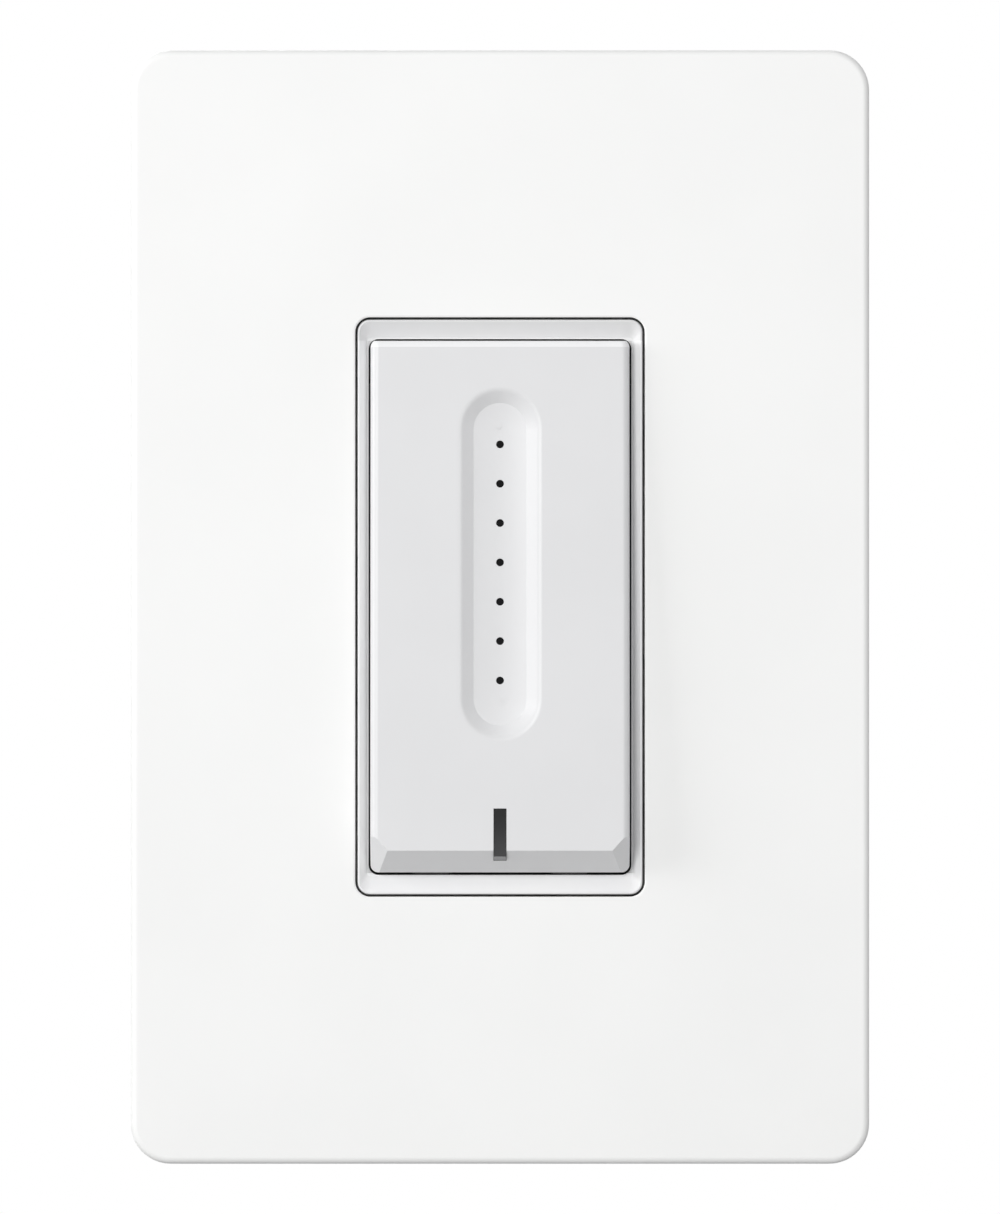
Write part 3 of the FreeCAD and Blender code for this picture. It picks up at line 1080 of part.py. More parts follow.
def rear_housing():
    """The box behind the strap, with screw posts, stands for the board and four open terminal pockets."""
    housing = Piece("rear_housing")
    housing.add("front", "-housing_reach", "0", rounded("housing_width", "housing_height", "housing_corner"))
    housing.round_off("housing_edge", flat_at("-housing_reach"))
    housing.cut("front", HOUSING_INSIDE, "0", rounded("housing_width - 2 * housing_wall",
                "housing_height - 2 * housing_wall", "housing_corner - housing_wall"))
    outside = "(pocket_size / 2 + pocket_wall)"
    walls = [(f"{side} * ({POCKET_FLOOR} - pocket_wall + housing_width / 2 - housing_wall) / 2", level)
             for side, level in TERMINALS]
    thick = f"housing_width / 2 - housing_wall - {POCKET_FLOOR} + pocket_wall"
    housing.add("front", f"{TERMINAL_DEPTH} - {outside}", f"{TERMINAL_DEPTH} + {outside}",
                *(box(thick, f"2 * {outside}", wall) for wall in walls))
    for side, level in TERMINALS:
        place, tail = (TERMINAL_DEPTH, level), ("-tail_behind - terminal_thick / 2", level)
        housing.cut("side", *across_span(side, POCKET_FLOOR, "housing_width / 2"),
                    box("pocket_size", "pocket_size", place))
        housing.cut("side", *across_span(side, f"{POCKET_FLOOR} - pocket_wall", POCKET_FLOOR),
                    disc("terminal_screw + 2 * terminal_screw_play", place),
                    box("terminal_thick + 2 * tail_play", "tail_width + 2 * tail_play", tail))
    housing.add("front", HOUSING_INSIDE, "0", *(disc("post_diameter", boss) for boss in BOSSES))
    housing.add("front", HOUSING_INSIDE, POWER_BOARD_BACK,
                *(disc("stand_diameter", stand) for stand in four_places("stand_across", "stand_level")))
    housing.cut("front", "-housing_reach", "-housing_screw_start",
                *(disc("housing_screw_head + housing_screw_play", boss) for boss in BOSSES))
    housing.cut("front", "-housing_screw_start", "0",
                *(disc("housing_screw + housing_screw_play", boss) for boss in BOSSES))
    housing.cut("front", "-housing_reach", "panel_sunk - housing_reach",
                rounded("panel_width", "panel_height", "housing_edge"))
    housing.cut("front", "-housing_reach", "gauge_depth - housing_reach",
                box("gauge_length", "gauge_width", ("0", "-gauge_level")))


def across_span(side, near, far):
    """The two ends of a stretch across, in rising order, on the right (1) or the left (-1)."""
    return (near, far) if side > 0 else (f"-({far})", f"-({near})")


def housing_screws():
    """Four screws that clamp housing, strap and bezel together from behind."""
    screws = Piece("housing_screws", solids=4)
    seat, tip = "(-housing_screw_start)", "housing_screw_reach"
    head = f"({seat} - housing_screw_head_thick)"
    radius, rim = "housing_screw / 2", "housing_screw_head / 2"
    for boss in BOSSES:
        screws.turned(boss, ("0", head), (f"{rim} - screw_tip", head), (rim, f"{head} + screw_tip"),
                      (rim, seat), (radius, seat), (radius, f"{tip} - screw_tip"),
                      (f"{radius} - screw_tip", tip), ("0", tip))
    screws.cut("front", head, f"{head} + head_slot_depth",
               *(box("housing_screw_head", "head_slot", boss) for boss in BOSSES))


def terminal_plates():
    """Four brass plates on the pockets' floors, each with a tail through the wall and down to the board."""
    plates = Piece("terminal_plates", solids=4)
    for side, level in TERMINALS:
        place = (TERMINAL_DEPTH, level)
        ends = across_span(side, POCKET_FLOOR, PLATE_OUTSIDE)
        plates.add("side", *ends, box("terminal_plate", "terminal_plate", place))
        plates.cut("side", *ends, disc("terminal_screw + thread_play", place))
        plates.add("side", *across_span(side, TAIL_LEG, POCKET_FLOOR),
                   box("terminal_thick", "tail_width", ("-tail_behind - terminal_thick / 2", level)))
        plates.add("front", LEG_TIP, "-tail_behind - terminal_thick", box("terminal_thick", "tail_width",
                   (f"{side} * ({TAIL_LEG} + terminal_thick / 2)", level)))


def terminal_clamps():
    """Four square clamps under the terminal screws' heads, backed off to take a wire."""
    clamps = Piece("terminal_clamps", solids=4)
    for side, level in TERMINALS:
        place = (TERMINAL_DEPTH, level)
        ends = across_span(side, CLAMP_INSIDE, CLAMP_OUTSIDE)
        clamps.add("side", *ends, box("clamp_size", "clamp_size", place))
        clamps.cut("side", *ends, disc("terminal_screw + 2 * terminal_screw_play", place))


def terminal_screws():
    """Four binding screws, each through its clamp, its plate and the pocket's floor."""
    screws = Piece("terminal_screws", solids=4)
    face = f"({CLAMP_OUTSIDE} + terminal_head_thick)"
    for side, level in TERMINALS:
        place = (TERMINAL_DEPTH, level)
        shank = across_span(side, f"{POCKET_FLOOR} - terminal_tip", CLAMP_OUTSIDE)
        screws.add("side", *shank, disc("terminal_screw", place))
        screws.add("side", *across_span(side, CLAMP_OUTSIDE, face), disc("terminal_head", place))
        slot = across_span(side, f"{face} - head_slot_depth", face)
        screws.cut("side", *slot, box("terminal_head", "head_slot", place))


def power_board():
    """The board at the back of the housing, with openings for the posts and for every leg."""
    board = Piece("power_board")
    rim = "2 * (housing_wall + power_board_gap)"
    board.add("front", POWER_BOARD_BACK, POWER_BOARD,
              box(f"housing_width - {rim}", f"housing_height - {rim}"))
    leg_hole, pin_hole = "transistor_leg + leg_play", "header_pin + header_pin_play"
    tails = [(f"{side} * ({TAIL_LEG} + terminal_thick / 2)", level) for side, level in TERMINALS]
    board.cut("front", POWER_BOARD_BACK, POWER_BOARD,
              *(disc("post_diameter + 2 * post_play", boss) for boss in BOSSES),
              *(box(leg_hole, leg_hole, leg) for leg in TRANSISTOR_LEGS),
              *(box(pin_hole, pin_hole, pin) for pin in HEADER),
              *(box("terminal_thick + leg_play", "tail_width + leg_play", tail) for tail in tails))


def dimming_transistors():
    """The two transistors that cut the lamp's current, flat under the heat fin."""
    pair = Piece("dimming_transistors", solids=2)
    for across in TRANSISTORS:
        tab_middle = (across, f"({TRANSISTOR_BODY} - transistor_behind) / 2")
        body_middle = (across, f"({TRANSISTOR_BODY} + {TRANSISTOR_END}) / 2")
        pair.add("top", f"{TRANSISTOR_TOP} - transistor_tab", TRANSISTOR_TOP,
                 box("transistor_width", "transistor_tab_length", tab_middle))
        pair.cut("top", f"{TRANSISTOR_TOP} - transistor_tab", TRANSISTOR_TOP,
                 disc("transistor_screw + thread_play", (across, TRANSISTOR_HOLE)))
        pair.add("top", f"{TRANSISTOR_TOP} - transistor_thick", TRANSISTOR_TOP,
                 box("transistor_width", "transistor_length", body_middle))
    pair.add("front", LEG_TIP, TRANSISTOR_END,
             *(box("transistor_leg", "transistor_leg", leg) for leg in TRANSISTOR_LEGS))


def transistor_screws():
    """The screws that press the transistors to the fin."""
    screws = Piece("transistor_screws", solids=2)
    seat = f"({TRANSISTOR_TOP} - transistor_tab)"
    foot = f"({seat} - transistor_screw_head_thick)"
    places = [(across, TRANSISTOR_HOLE) for across in TRANSISTORS]
    screws.add("top", foot, seat, *(disc("transistor_screw_head", place) for place in places))
    screws.add("top", seat, f"{FIN_LEVEL} + strap_thick + transistor_screw_stand",
               *(disc("transistor_screw", place) for place in places))
    screws.cut("top", foot, f"{foot} + head_slot_depth",
               *(box("transistor_screw_head", "head_slot", place) for place in places))


def insulating_pad():
    """The thin pad between the transistors and the fin."""
    pad = Piece("insulating_pad")
    side = "(transistor_across + transistor_width / 2 + pad_margin)"
    pad.add("top", TRANSISTOR_TOP, FIN_LEVEL,
            span(f"-{side}", side, f"{TRANSISTOR_END} - pad_margin", "pad_margin - transistor_behind"))
    pad.cut("top", TRANSISTOR_TOP, FIN_LEVEL,
            *(disc("transistor_screw + thread_play", (across, TRANSISTOR_HOLE)) for across in TRANSISTORS))


def bulk_capacitor():
    """The tall round capacitor, with the bead that seals its can."""
    can = Piece("bulk_capacitor")
    radius = "capacitor_diameter / 2"
    waist = f"{radius} - capacitor_bead"
    bead, top = f"{POWER_BOARD} + capacitor_bead_rise", f"{POWER_BOARD} + capacitor_length"
    can.turned((f"{radius} - {PARTS_SIDE}", "capacitor_level"), ("0", POWER_BOARD), (radius, POWER_BOARD),
               (radius, f"{bead} - capacitor_bead"), (waist, bead), (radius, f"{bead} + capacitor_bead"),
               (radius, f"{top} - capacitor_bead"), (waist, top), ("0", top))


def film_capacitor():
    """The box-shaped capacitor that keeps the dimmer quiet on the line."""
    block = Piece("film_capacitor")
    block.add("front", POWER_BOARD, f"{POWER_BOARD} + film_length",
              rounded("film_width", "film_thick", "film_edge", ("0", "-film_level")))
    block.round_off("film_edge / 2", flat_at(f"{POWER_BOARD} + film_length"))


def filter_choke():
    """The wound ring, as one ring with round edges."""
    ring = Piece("filter_choke")
    front = f"{POWER_BOARD} + choke_height"
    place = (f"choke_diameter / 2 - {PARTS_SIDE}", "-choke_level")
    ring.add("front", POWER_BOARD, front, disc("choke_diameter", place), disc("choke_bore", place))
    ring.round_off("choke_edge", flat_at(front))


def supply_transformer():
    """The small transformer: a bobbin with two flanges, its winding and the core across it."""
    block = Piece("supply_transformer")
    place = (f"{PARTS_SIDE} - transformer_width / 2", "transformer_level")
    front = f"{POWER_BOARD} + transformer_height"
    square = box("transformer_width", "transformer_width", place)
    block.add("front", POWER_BOARD, f"{POWER_BOARD} + transformer_flange", square)
    block.add("front", f"{POWER_BOARD} + transformer_flange", f"{front} - transformer_flange",
              rounded("transformer_winding", "transformer_winding", "transformer_flange", place))
    block.add("front", f"{POWER_BOARD} + transformer_flange", f"{front} - transformer_flange",
              box("transformer_width", "transformer_core", place))
    block.add("front", f"{front} - transformer_flange", front, square)


def varistor():
    """The disc that takes surges, on its two legs."""
    part = Piece("varistor")
    middle = f"{POWER_BOARD} + disc_lift + disc_diameter / 2"
    across = f"({PARTS_SIDE} - disc_diameter / 2)"
    part.add("top", "-disc_level - disc_thick / 2", "disc_thick / 2 - disc_level",
             disc("disc_diameter", (across, middle)))
    part.add("front", POWER_BOARD, f"{middle} - disc_diameter / 4",
             *(box("disc_leg", "disc_leg", (f"{across} + {side} * disc_leg_pitch / 2", "-disc_level"))
               for side in (1, -1)))


def fuse():
    """The fuse that lies on the board between its two metal caps."""
    part = Piece("fuse")
    place = (f"{POWER_BOARD} + fuse_cap / 2", "-fuse_level")
    left, right = f"{PARTS_SIDE} - fuse_length", PARTS_SIDE
    part.add("side", left, right, disc("fuse_diameter", place))
    part.add("side", left, f"{left} + fuse_cap_length", disc("fuse_cap", place))
    part.add("side", f"{right} - fuse_cap_length", right, disc("fuse_cap", place))


for make in (wall_plate, plate_frame, plate_frame_screws, mounting_strap, ground_screw, box_screws,
             screw_retainers, face_frame, paddle, level_light_guide, level_leds, touch_board, touch_flex,
             status_lens, switch_plunger, tact_switch, return_springs, control_board, radio_module,
             radio_shield, status_led, link_header, rear_housing, housing_screws, terminal_plates,
             terminal_clamps, terminal_screws, power_board, dimming_transistors, transistor_screws,
             insulating_pad, bulk_capacitor, film_capacitor, filter_choke, supply_transformer,
             varistor, fuse):
    make()
ribbon_connector("board_connector", BOARD_FRONT)
lean_back(ribbon_connector("touch_connector", f"{TOUCH_BOARD_BACK} - plug_thick"))
doc.recompute()

for item in doc.Objects:
    if {"Invalid", "Error"} & set(item.State):
        raise RuntimeError(f"{item.Label} could not be built: {item.State}")
for piece in Piece.made:
    shape = piece.body.Shape
    if shape.isNull() or not shape.isValid() or len(shape.Solids) != piece.solids:
        raise RuntimeError(f"{piece.body.Label} is not {piece.solids} sound solids: {len(shape.Solids)}")

os.makedirs("parts", exist_ok=True)
for piece in Piece.made:
    piece.body.Shape.exportStep(f"parts/{piece.body.Label}.step")
print(f"{len(Piece.made)} pieces written")
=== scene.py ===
import math

import bmesh
import bpy
from mathutils import Matrix, Vector


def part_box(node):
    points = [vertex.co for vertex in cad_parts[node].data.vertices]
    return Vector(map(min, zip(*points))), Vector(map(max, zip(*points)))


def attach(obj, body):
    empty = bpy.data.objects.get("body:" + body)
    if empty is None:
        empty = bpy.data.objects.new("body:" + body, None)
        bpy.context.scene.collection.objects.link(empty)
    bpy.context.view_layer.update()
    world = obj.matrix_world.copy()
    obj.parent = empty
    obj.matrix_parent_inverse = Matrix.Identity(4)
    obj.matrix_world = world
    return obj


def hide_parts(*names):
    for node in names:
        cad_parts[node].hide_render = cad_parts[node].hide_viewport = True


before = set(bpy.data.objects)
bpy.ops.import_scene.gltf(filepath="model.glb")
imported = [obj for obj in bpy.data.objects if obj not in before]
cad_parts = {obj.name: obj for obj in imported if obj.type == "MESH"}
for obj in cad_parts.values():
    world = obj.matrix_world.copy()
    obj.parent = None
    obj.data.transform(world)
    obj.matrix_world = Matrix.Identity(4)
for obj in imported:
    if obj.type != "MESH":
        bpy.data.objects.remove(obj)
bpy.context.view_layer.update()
mm = 0.001
print("frame loaded:", len(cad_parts), "nodes")


class Wire:                                  # a node's output that can stand in a sum
    def __init__(self, surface, socket):
        self.surface = surface
        self.socket = socket

    def maths(self, operation, first, second=0.0):
        return self.surface.node("Math", {"operation": operation}, {0: first, 1: second})

    def __add__(self, other):
        return self.maths("ADD", self, other)

    def __radd__(self, other):
        return self.maths("ADD", other, self)

    def __sub__(self, other):
        return self.maths("SUBTRACT", self, other)

    def __rsub__(self, other):
        return self.maths("SUBTRACT", other, self)

    def __mul__(self, other):
        return self.maths("MULTIPLY", self, other)

    def __rmul__(self, other):
        return self.maths("MULTIPLY", other, self)

    def __truediv__(self, other):
        return self.maths("DIVIDE", self, other)

    def __rtruediv__(self, other):
        return self.maths("DIVIDE", other, self)

    def __gt__(self, other):
        return self.maths("GREATER_THAN", self, other)

    def __lt__(self, other):
        return self.maths("LESS_THAN", self, other)

    def __abs__(self):
        return self.maths("ABSOLUTE", self)

    def part(self):                          # what is left after the whole number
        return self.maths("FRACT", self)

    def stripes(self, pitch, half):          # 1 near the middle of each repeat
        return abs((self / pitch).part() - 0.5) < half

    def swing(self):                         # noise, moved so that it lies about 0
        return self - 0.5


class Surface:                               # the nodes of one material, or of the world
    def __init__(self, owner):
        owner.use_nodes = True
        self.tree = owner.node_tree
        self.tree.nodes.clear()

    def node(self, kind, settings, inputs, output=0):
        made = self.tree.nodes.new("ShaderNode" + kind)
        for key, value in settings.items():
            setattr(made, key, value)
        for key, value in inputs.items():
            if isinstance(value, Wire):
                self.tree.links.new(value.socket, made.inputs[key])
            else:
                made.inputs[key].default_value = value
        return Wire(self, made.outputs[output]) if made.outputs else None

    def place(self, stretch=(1, 1, 1)):      # where a point is on its piece, in metres
        spot = self.node("TexCoord", {}, {}, "Object")
        return self.node("Mapping", {}, {"Vector": spot, "Scale": stretch})

    def along(self, axis):                   # one of the three places, in millimetres
        return self.node("SeparateXYZ", {}, {0: self.place()}, axis) / mm

    def within(self, limits):                # 1 behind a depth, for a ring inside or outside its outline
        deep = self.along("Y") > limits["behind"]
        across, up = abs(self.along("X")), abs(self.along("Z"))
        if "inside" in limits:
            return deep * (across < limits["inside"][0]) * (up < limits["inside"][1])
        if "outside" in limits:              # and on the ring's own floor
            outer = (across > limits["outside"][0]) + (up > limits["outside"][1])
            return (deep * outer + (self.along("Y") > limits["floor"])) > 0.5
        return deep

    def noise(self, size, detail=2.0, stretch=(1, 1, 1)):
        inputs = {"Vector": self.place(stretch), "Scale": 1 / size, "Detail": detail}
        return self.node("TexNoise", {}, inputs)

    def cells(self, size):
        inputs = {"Vector": self.place(), "Scale": 1 / size}
        return self.node("TexVoronoi", {"feature": "SMOOTH_F1"}, inputs, "Distance")

    def ease(self, value, low, high):        # 0 below low, 1 above high
        return self.node("MapRange", {"interpolation_type": "SMOOTHSTEP"},
                         {"Value": value, "From Min": low, "From Max": high})

    def mix(self, mask, first, second):      # two colours
        return self.node("Mix", {"data_type": "RGBA"}, {0: mask, 6: first, 7: second}, 2)

    def bump(self, height, depth, under=None):
        inputs = {"Height": height, "Distance": depth, "Strength": 1.0}
        if under:
            inputs["Normal"] = under
        return self.node("Bump", {}, inputs)

    def gloss(self, inputs):
        return self.node("BsdfPrincipled", {}, inputs)

    def end(self, shader):
        self.node("OutputMaterial", {}, {"Surface": shader})

    def coat(self, inputs):                  # the usual end, one shader all over
        self.end(self.gloss(inputs))


def paint(red, green, blue):                 # a colour as an eyedropper reads it, 0 to 255
    shares = [value / 255 for value in (red, green, blue)]
    return tuple(s / 12.92 if s <= 0.04045 else ((s + 0.055) / 1.055) ** 2.4 for s in shares) + (1.0,)


def newMaterial(name):
    material = bpy.data.materials.new(name)
    return material, Surface(material)


moulding = {
    "patches": (0.3, 0.7), "rubSize": 0.5 * mm, "rubStretch": (1, 1, 0.06), "rubs": (0.66, 0.74),
    # jointShade is the colour of the painted shade deep in joints
    "rubbed": (0.45, 0.6), "polish": 0.05, "jointShade": paint(46, 46, 47),
}


def shadeSlopes(surface, colour, look):      # painted shade: a ring's slopes are darker, at the sides towards their feet, and so is its top slope
    slope = look["slope"]
    side = abs(surface.along("Z")) < slope["half"]
    shade = side * surface.ease(abs(surface.along("X")), slope["mouth"], slope["foot"])
    shade = shade + slope["top"] * (surface.along("Z") > slope["half"])
    # dull is the colour of the painted shade
    dull = tuple(share * slope["dull"] for share in look["colour"][:3]) + (1.0,)
    return surface.mix(shade, colour, dull)


def ownFaces(surface, region):               # the faces' own normals in a region, smoothed ones elsewhere
    near = abs(abs(surface.along("Z") - region["middle"]) - region["half"]) < region["reach"]
    near = near * (abs(surface.along("X")) < region["across"])
    smooth, own = [surface.node("NewGeometry", {}, {}, kind) for kind in ("Normal", "True Normal")]
    return surface.node("Mix", {"data_type": "VECTOR"}, {0: near, 4: smooth, 5: own}, 1)


def mouldedPlastic(name, look):              # satin moulding: faint clouding, fine grain, hairline rubs, and where the look asks, painted shade and a painted highlight
    material, surface = newMaterial(name)
    cloud = surface.noise(look["cloud"], detail=3.0)
    grain = surface.noise(look["grain"])
    rubs = surface.noise(moulding["rubSize"], stretch=moulding["rubStretch"])
    rubs = surface.ease(rubs, *moulding["rubs"])
    colour = surface.mix(surface.ease(cloud, *moulding["patches"]), look["colour"], look["second"])
    # painted shade on a ring's slopes
    if "slope" in look:
        colour = shadeSlopes(surface, colour, look)
    if "edge" in look:                       # painted highlight: the paddle's top edge is a little lighter
        colour = surface.mix(surface.along("Z") > look["edge"]["above"], colour, look["edge"]["colour"])
    if "joint" in look:                      # painted shade: the faces deep in a joint are dark
        colour = surface.mix(surface.within(look["joint"]), colour, moulding["jointShade"])
    rough = look["rough"] + look["spread"] * grain.swing()
    rough = rough - moulding["polish"] * rubs * surface.ease(cloud, *moulding["rubbed"])
    under = ownFaces(surface, look["flat"]) if "flat" in look else None
    surface.coat({"Base Color": colour, "Roughness": rough, "IOR": look["ior"],
                  "Normal": surface.bump(grain, look["depth"], under)})
    return material


def erodedPlastic(name, look):               # dark moulding from a spark-eroded tool
    material, surface = newMaterial(name)
    pits = surface.cells(look["pit"])
    fine = surface.noise(look["pit"] * look["fine"], detail=3.0)
    cloud = surface.noise(look["cloud"], detail=4.0)
    colour = surface.mix(surface.ease(cloud, *look["patches"]), look["colour"], look["second"])
    rough = look["rough"] + look["spread"] * fine.swing() + look["uneven"] * cloud.swing()
    normal = surface.bump(pits + look["grit"] * fine, look["depth"])
    surface.coat({"Base Color": colour, "Roughness": rough, "Normal": normal})
    return material


rolling = {
    "streaks": 4, "streaked": 0.25, "cloud": 7 * mm, "worn": (0.5, 0.85), "spread": 0.16, "dull": 0.12,
}


def rolledMetal(name, look):                 # sheet or wire with the marks of its rolls along the grain
    material, surface = newMaterial(name)
    grain = surface.noise(look["grain"], 4.0, look["stretch"])
    streaks = surface.noise(look["grain"] * rolling["streaks"], 3.0, look["stretch"])
    cloud = surface.noise(rolling["cloud"], detail=4.0)
    worn = surface.ease(cloud + rolling["streaked"] * streaks, *rolling["worn"])
    colour = surface.mix(worn, look["colour"], look["second"])
    rough = look["rough"] + rolling["spread"] * grain.swing() + rolling["dull"] * worn
    normal = surface.bump(grain, look["depth"])
    if "score" in look:                      # pressed lines, where the ears break off
        score = look["score"]
        line = abs(abs(surface.along("X")) - score["across"]) < score["half"]
        line = line * (abs(surface.along("Z")) > score["beyond"])
        normal = surface.bump(1.0 - line, score["depth"], normal)
    surface.coat({"Base Color": colour, "Metallic": 1.0, "Roughness": rough, "Normal": normal})
    return material


def laminate(name, look):                    # lacquered board with its tracks showing as low ridges
    material, surface = newMaterial(name)
    across, up = surface.along("X"), surface.along("Z")
    pick = surface.noise(look["area"], detail=0.0)
    upright = across.stripes(look["pitch"], look["half"]) * (pick > look["uprightAbove"])
    level = up.stripes(look["pitch"], look["half"]) * (pick < look["levelBelow"])
    tracks = upright + level
    weave = surface.noise(look["weave"])
    colour = surface.mix(tracks, look["colour"], look["track"])
    surface.coat({"Base Color": colour, "Roughness": look["rough"] + look["spread"] * weave.swing(),
                  "Normal": surface.bump(tracks + look["cloth"] * weave, look["depth"])})
    return material


polished = {"cloud": 1.5 * mm, "spread": 0.05, "depth": 0.0015 * mm}


def smokedPlastic(name, look):               # polished dark moulding with a painted reflection, a little lighter towards its foot
    material, surface = newMaterial(name)
    height = surface.ease(surface.along("Z"), look["foot"], look["top"])
    cloud = surface.noise(polished["cloud"])
    colour = surface.mix(height, look["light"], look["dark"])
    if "end" in look:                        # painted light: the lens's lowest end is lighter, where light comes through
        colour = surface.mix(surface.along("Z") < look["end"]["below"], colour, look["end"]["colour"])
    surface.coat({"Base Color": colour, "Roughness": look["rough"] + polished["spread"] * cloud.swing(),
                  "IOR": look["ior"], "Normal": surface.bump(cloud, polished["depth"])})
    return material


def sleeve(name, look):                      # shrunk film over a can, with a pale stripe down one side
    material, surface = newMaterial(name)
    stripe = surface.along("X") < look["stripe"]
    wrinkle = surface.noise(look["wrinkle"], 3.0, look["stretch"])
    colour = surface.mix(stripe, look["colour"], look["band"])
    surface.coat({"Base Color": colour, "Roughness": look["rough"] + look["spread"] * wrinkle.swing(),
                  "Normal": surface.bump(wrinkle, look["depth"])})
    return material


cast = {"grain": 0.25 * mm, "spread": 0.14, "shine": 0.2, "depth": 0.004 * mm}


def partMetal(name, look):                   # dark moulding where the mask is 0, bright metal where it is 1
    material, surface = newMaterial(name)
    place = surface.along("Y")
    metal = (place < look["below"]) + (place > look["above"])
    grain = surface.noise(cast["grain"], detail=3.0)
    colour = surface.mix(metal, look["colour"], look["metal"])
    rough = look["rough"] - cast["shine"] * metal + cast["spread"] * grain.swing()
    surface.coat({"Base Color": colour, "Metallic": metal, "Roughness": rough,
                  "Normal": surface.bump(grain, cast["depth"])})
    return material


def ribbonFilm(name, look):                  # amber film with thin copper lines along it
    material, surface = newMaterial(name)
    lines = surface.along("X").stripes(look["pitch"], look["half"])
    grain = surface.noise(look["grain"])
    colour = surface.mix(lines, look["colour"], look["line"])
    surface.coat({"Base Color": colour, "Roughness": look["rough"] + look["spread"] * grain.swing(),
                  "Normal": surface.bump(lines + look["cloth"] * grain, look["depth"])})
    return material


def glassTube(name, look):                   # clear tube between plated caps
    material, surface = newMaterial(name)
    cap = abs(surface.along("X") - look["middle"]) > look["half"]
    grain = surface.noise(look["grain"], detail=3.0)
    tube = surface.gloss({"Base Color": look["glass"], "Roughness": look["glassRough"],
                          "Transmission Weight": 1.0, "Normal": surface.bump(grain, look["depth"])})
    metal = surface.gloss({"Base Color": look["metal"], "Metallic": 1.0,
                           "Roughness": look["rough"] + look["spread"] * grain.swing()})
    surface.end(surface.node("MixShader", {}, {0: cap, 1: tube, 2: metal}))
    return material


plastics = {
    "plate_plastic": {"colour": paint(247, 247, 246), "second": paint(245, 245, 244), "rough": 0.42,
                      "spread": 0.06, "cloud": 22 * mm, "grain": 0.16 * mm, "depth": 0.0007 * mm,
                      # joint: painted shade on the faces deep in the window's gap
                      "ior": 1.46, "joint": {"behind": -8.08, "inside": (16.8, 33.55)}},
    "bezel_plastic": {"colour": paint(240, 240, 240), "second": paint(238, 238, 239), "rough": 0.4,
                      "spread": 0.06, "cloud": 12 * mm, "grain": 0.14 * mm, "depth": 0.0007 * mm,
                      "ior": 1.46, "joint": {"behind": -7.98, "outside": (16.42, 33.17), "floor": -7.22},
                      # slope: painted shade on the ring's side and top slopes
                      "slope": {"mouth": 15.85, "foot": 14.95, "half": 30.8, "top": 0.33, "dull": 0.6}},
    "paddle_plastic": {"colour": paint(226, 226, 227), "second": paint(224, 224, 225), "rough": 0.36,
                       "spread": 0.06, "cloud": 14 * mm, "grain": 0.14 * mm, "depth": 0.0006 * mm,
                       "ior": 1.46, "joint": {"behind": -7.3},
                       # edge: painted highlight along the paddle's top edge
                       "edge": {"above": 30.02, "colour": paint(242, 242, 243)},
                       "flat": {"middle": 5.0, "half": 15.9, "reach": 0.8, "across": 1.5}},
    "frame_plastic": {"colour": paint(236, 236, 233), "second": paint(231, 231, 228), "rough": 0.5,
                      "spread": 0.1, "cloud": 18 * mm, "grain": 0.3 * mm, "depth": 0.003 * mm, "ior": 1.46},
    "vulcanised_fibre": {"colour": paint(132, 58, 46), "second": paint(112, 44, 36), "rough": 0.62,
                         "spread": 0.12, "cloud": 2 * mm, "grain": 0.2 * mm, "depth": 0.008 * mm,
                         "ior": 1.5},
    "connector_plastic": {"colour": paint(226, 220, 206), "second": paint(217, 210, 194), "rough": 0.45,
                          "spread": 0.08, "cloud": 2 * mm, "grain": 0.15 * mm, "depth": 0.002 * mm,
                          "ior": 1.5},
    "switch_case": {"colour": paint(48, 48, 49), "second": paint(42, 42, 43), "rough": 0.4,
                    "spread": 0.1, "cloud": 2 * mm, "grain": 0.12 * mm, "depth": 0.002 * mm, "ior": 1.5},
    "plunger_plastic": {"colour": paint(90, 90, 92), "second": paint(82, 82, 85), "rough": 0.4,
                        "spread": 0.08, "cloud": 2 * mm, "grain": 0.12 * mm, "depth": 0.002 * mm,
                        "ior": 1.5},
    "pad_silicone": {"colour": paint(194, 196, 202), "second": paint(186, 188, 195), "rough": 0.7,
                     "spread": 0.1, "cloud": 4 * mm, "grain": 0.4 * mm, "depth": 0.01 * mm, "ior": 1.41},
    "film_case": {"colour": paint(224, 203, 97), "second": paint(217, 194, 86), "rough": 0.5,
                  "spread": 0.1, "cloud": 3 * mm, "grain": 0.2 * mm, "depth": 0.003 * mm, "ior": 1.5},
    "transformer_tape": {"colour": paint(230, 214, 108), "second": paint(222, 203, 96), "rough": 0.3,
                         "spread": 0.08, "cloud": 3 * mm, "grain": 0.5 * mm, "depth": 0.008 * mm,
                         "ior": 1.5},
    "varistor_coat": {"colour": paint(63, 112, 174), "second": paint(54, 101, 163), "rough": 0.28,
                      "spread": 0.08, "cloud": 2 * mm, "grain": 0.5 * mm, "depth": 0.01 * mm, "ior": 1.52},
    "light_chip": {"colour": paint(238, 229, 196), "second": paint(236, 224, 170), "rough": 0.3,
                   "spread": 0.06, "cloud": 0.4 * mm, "grain": 0.1 * mm, "depth": 0.001 * mm, "ior": 1.5},
}
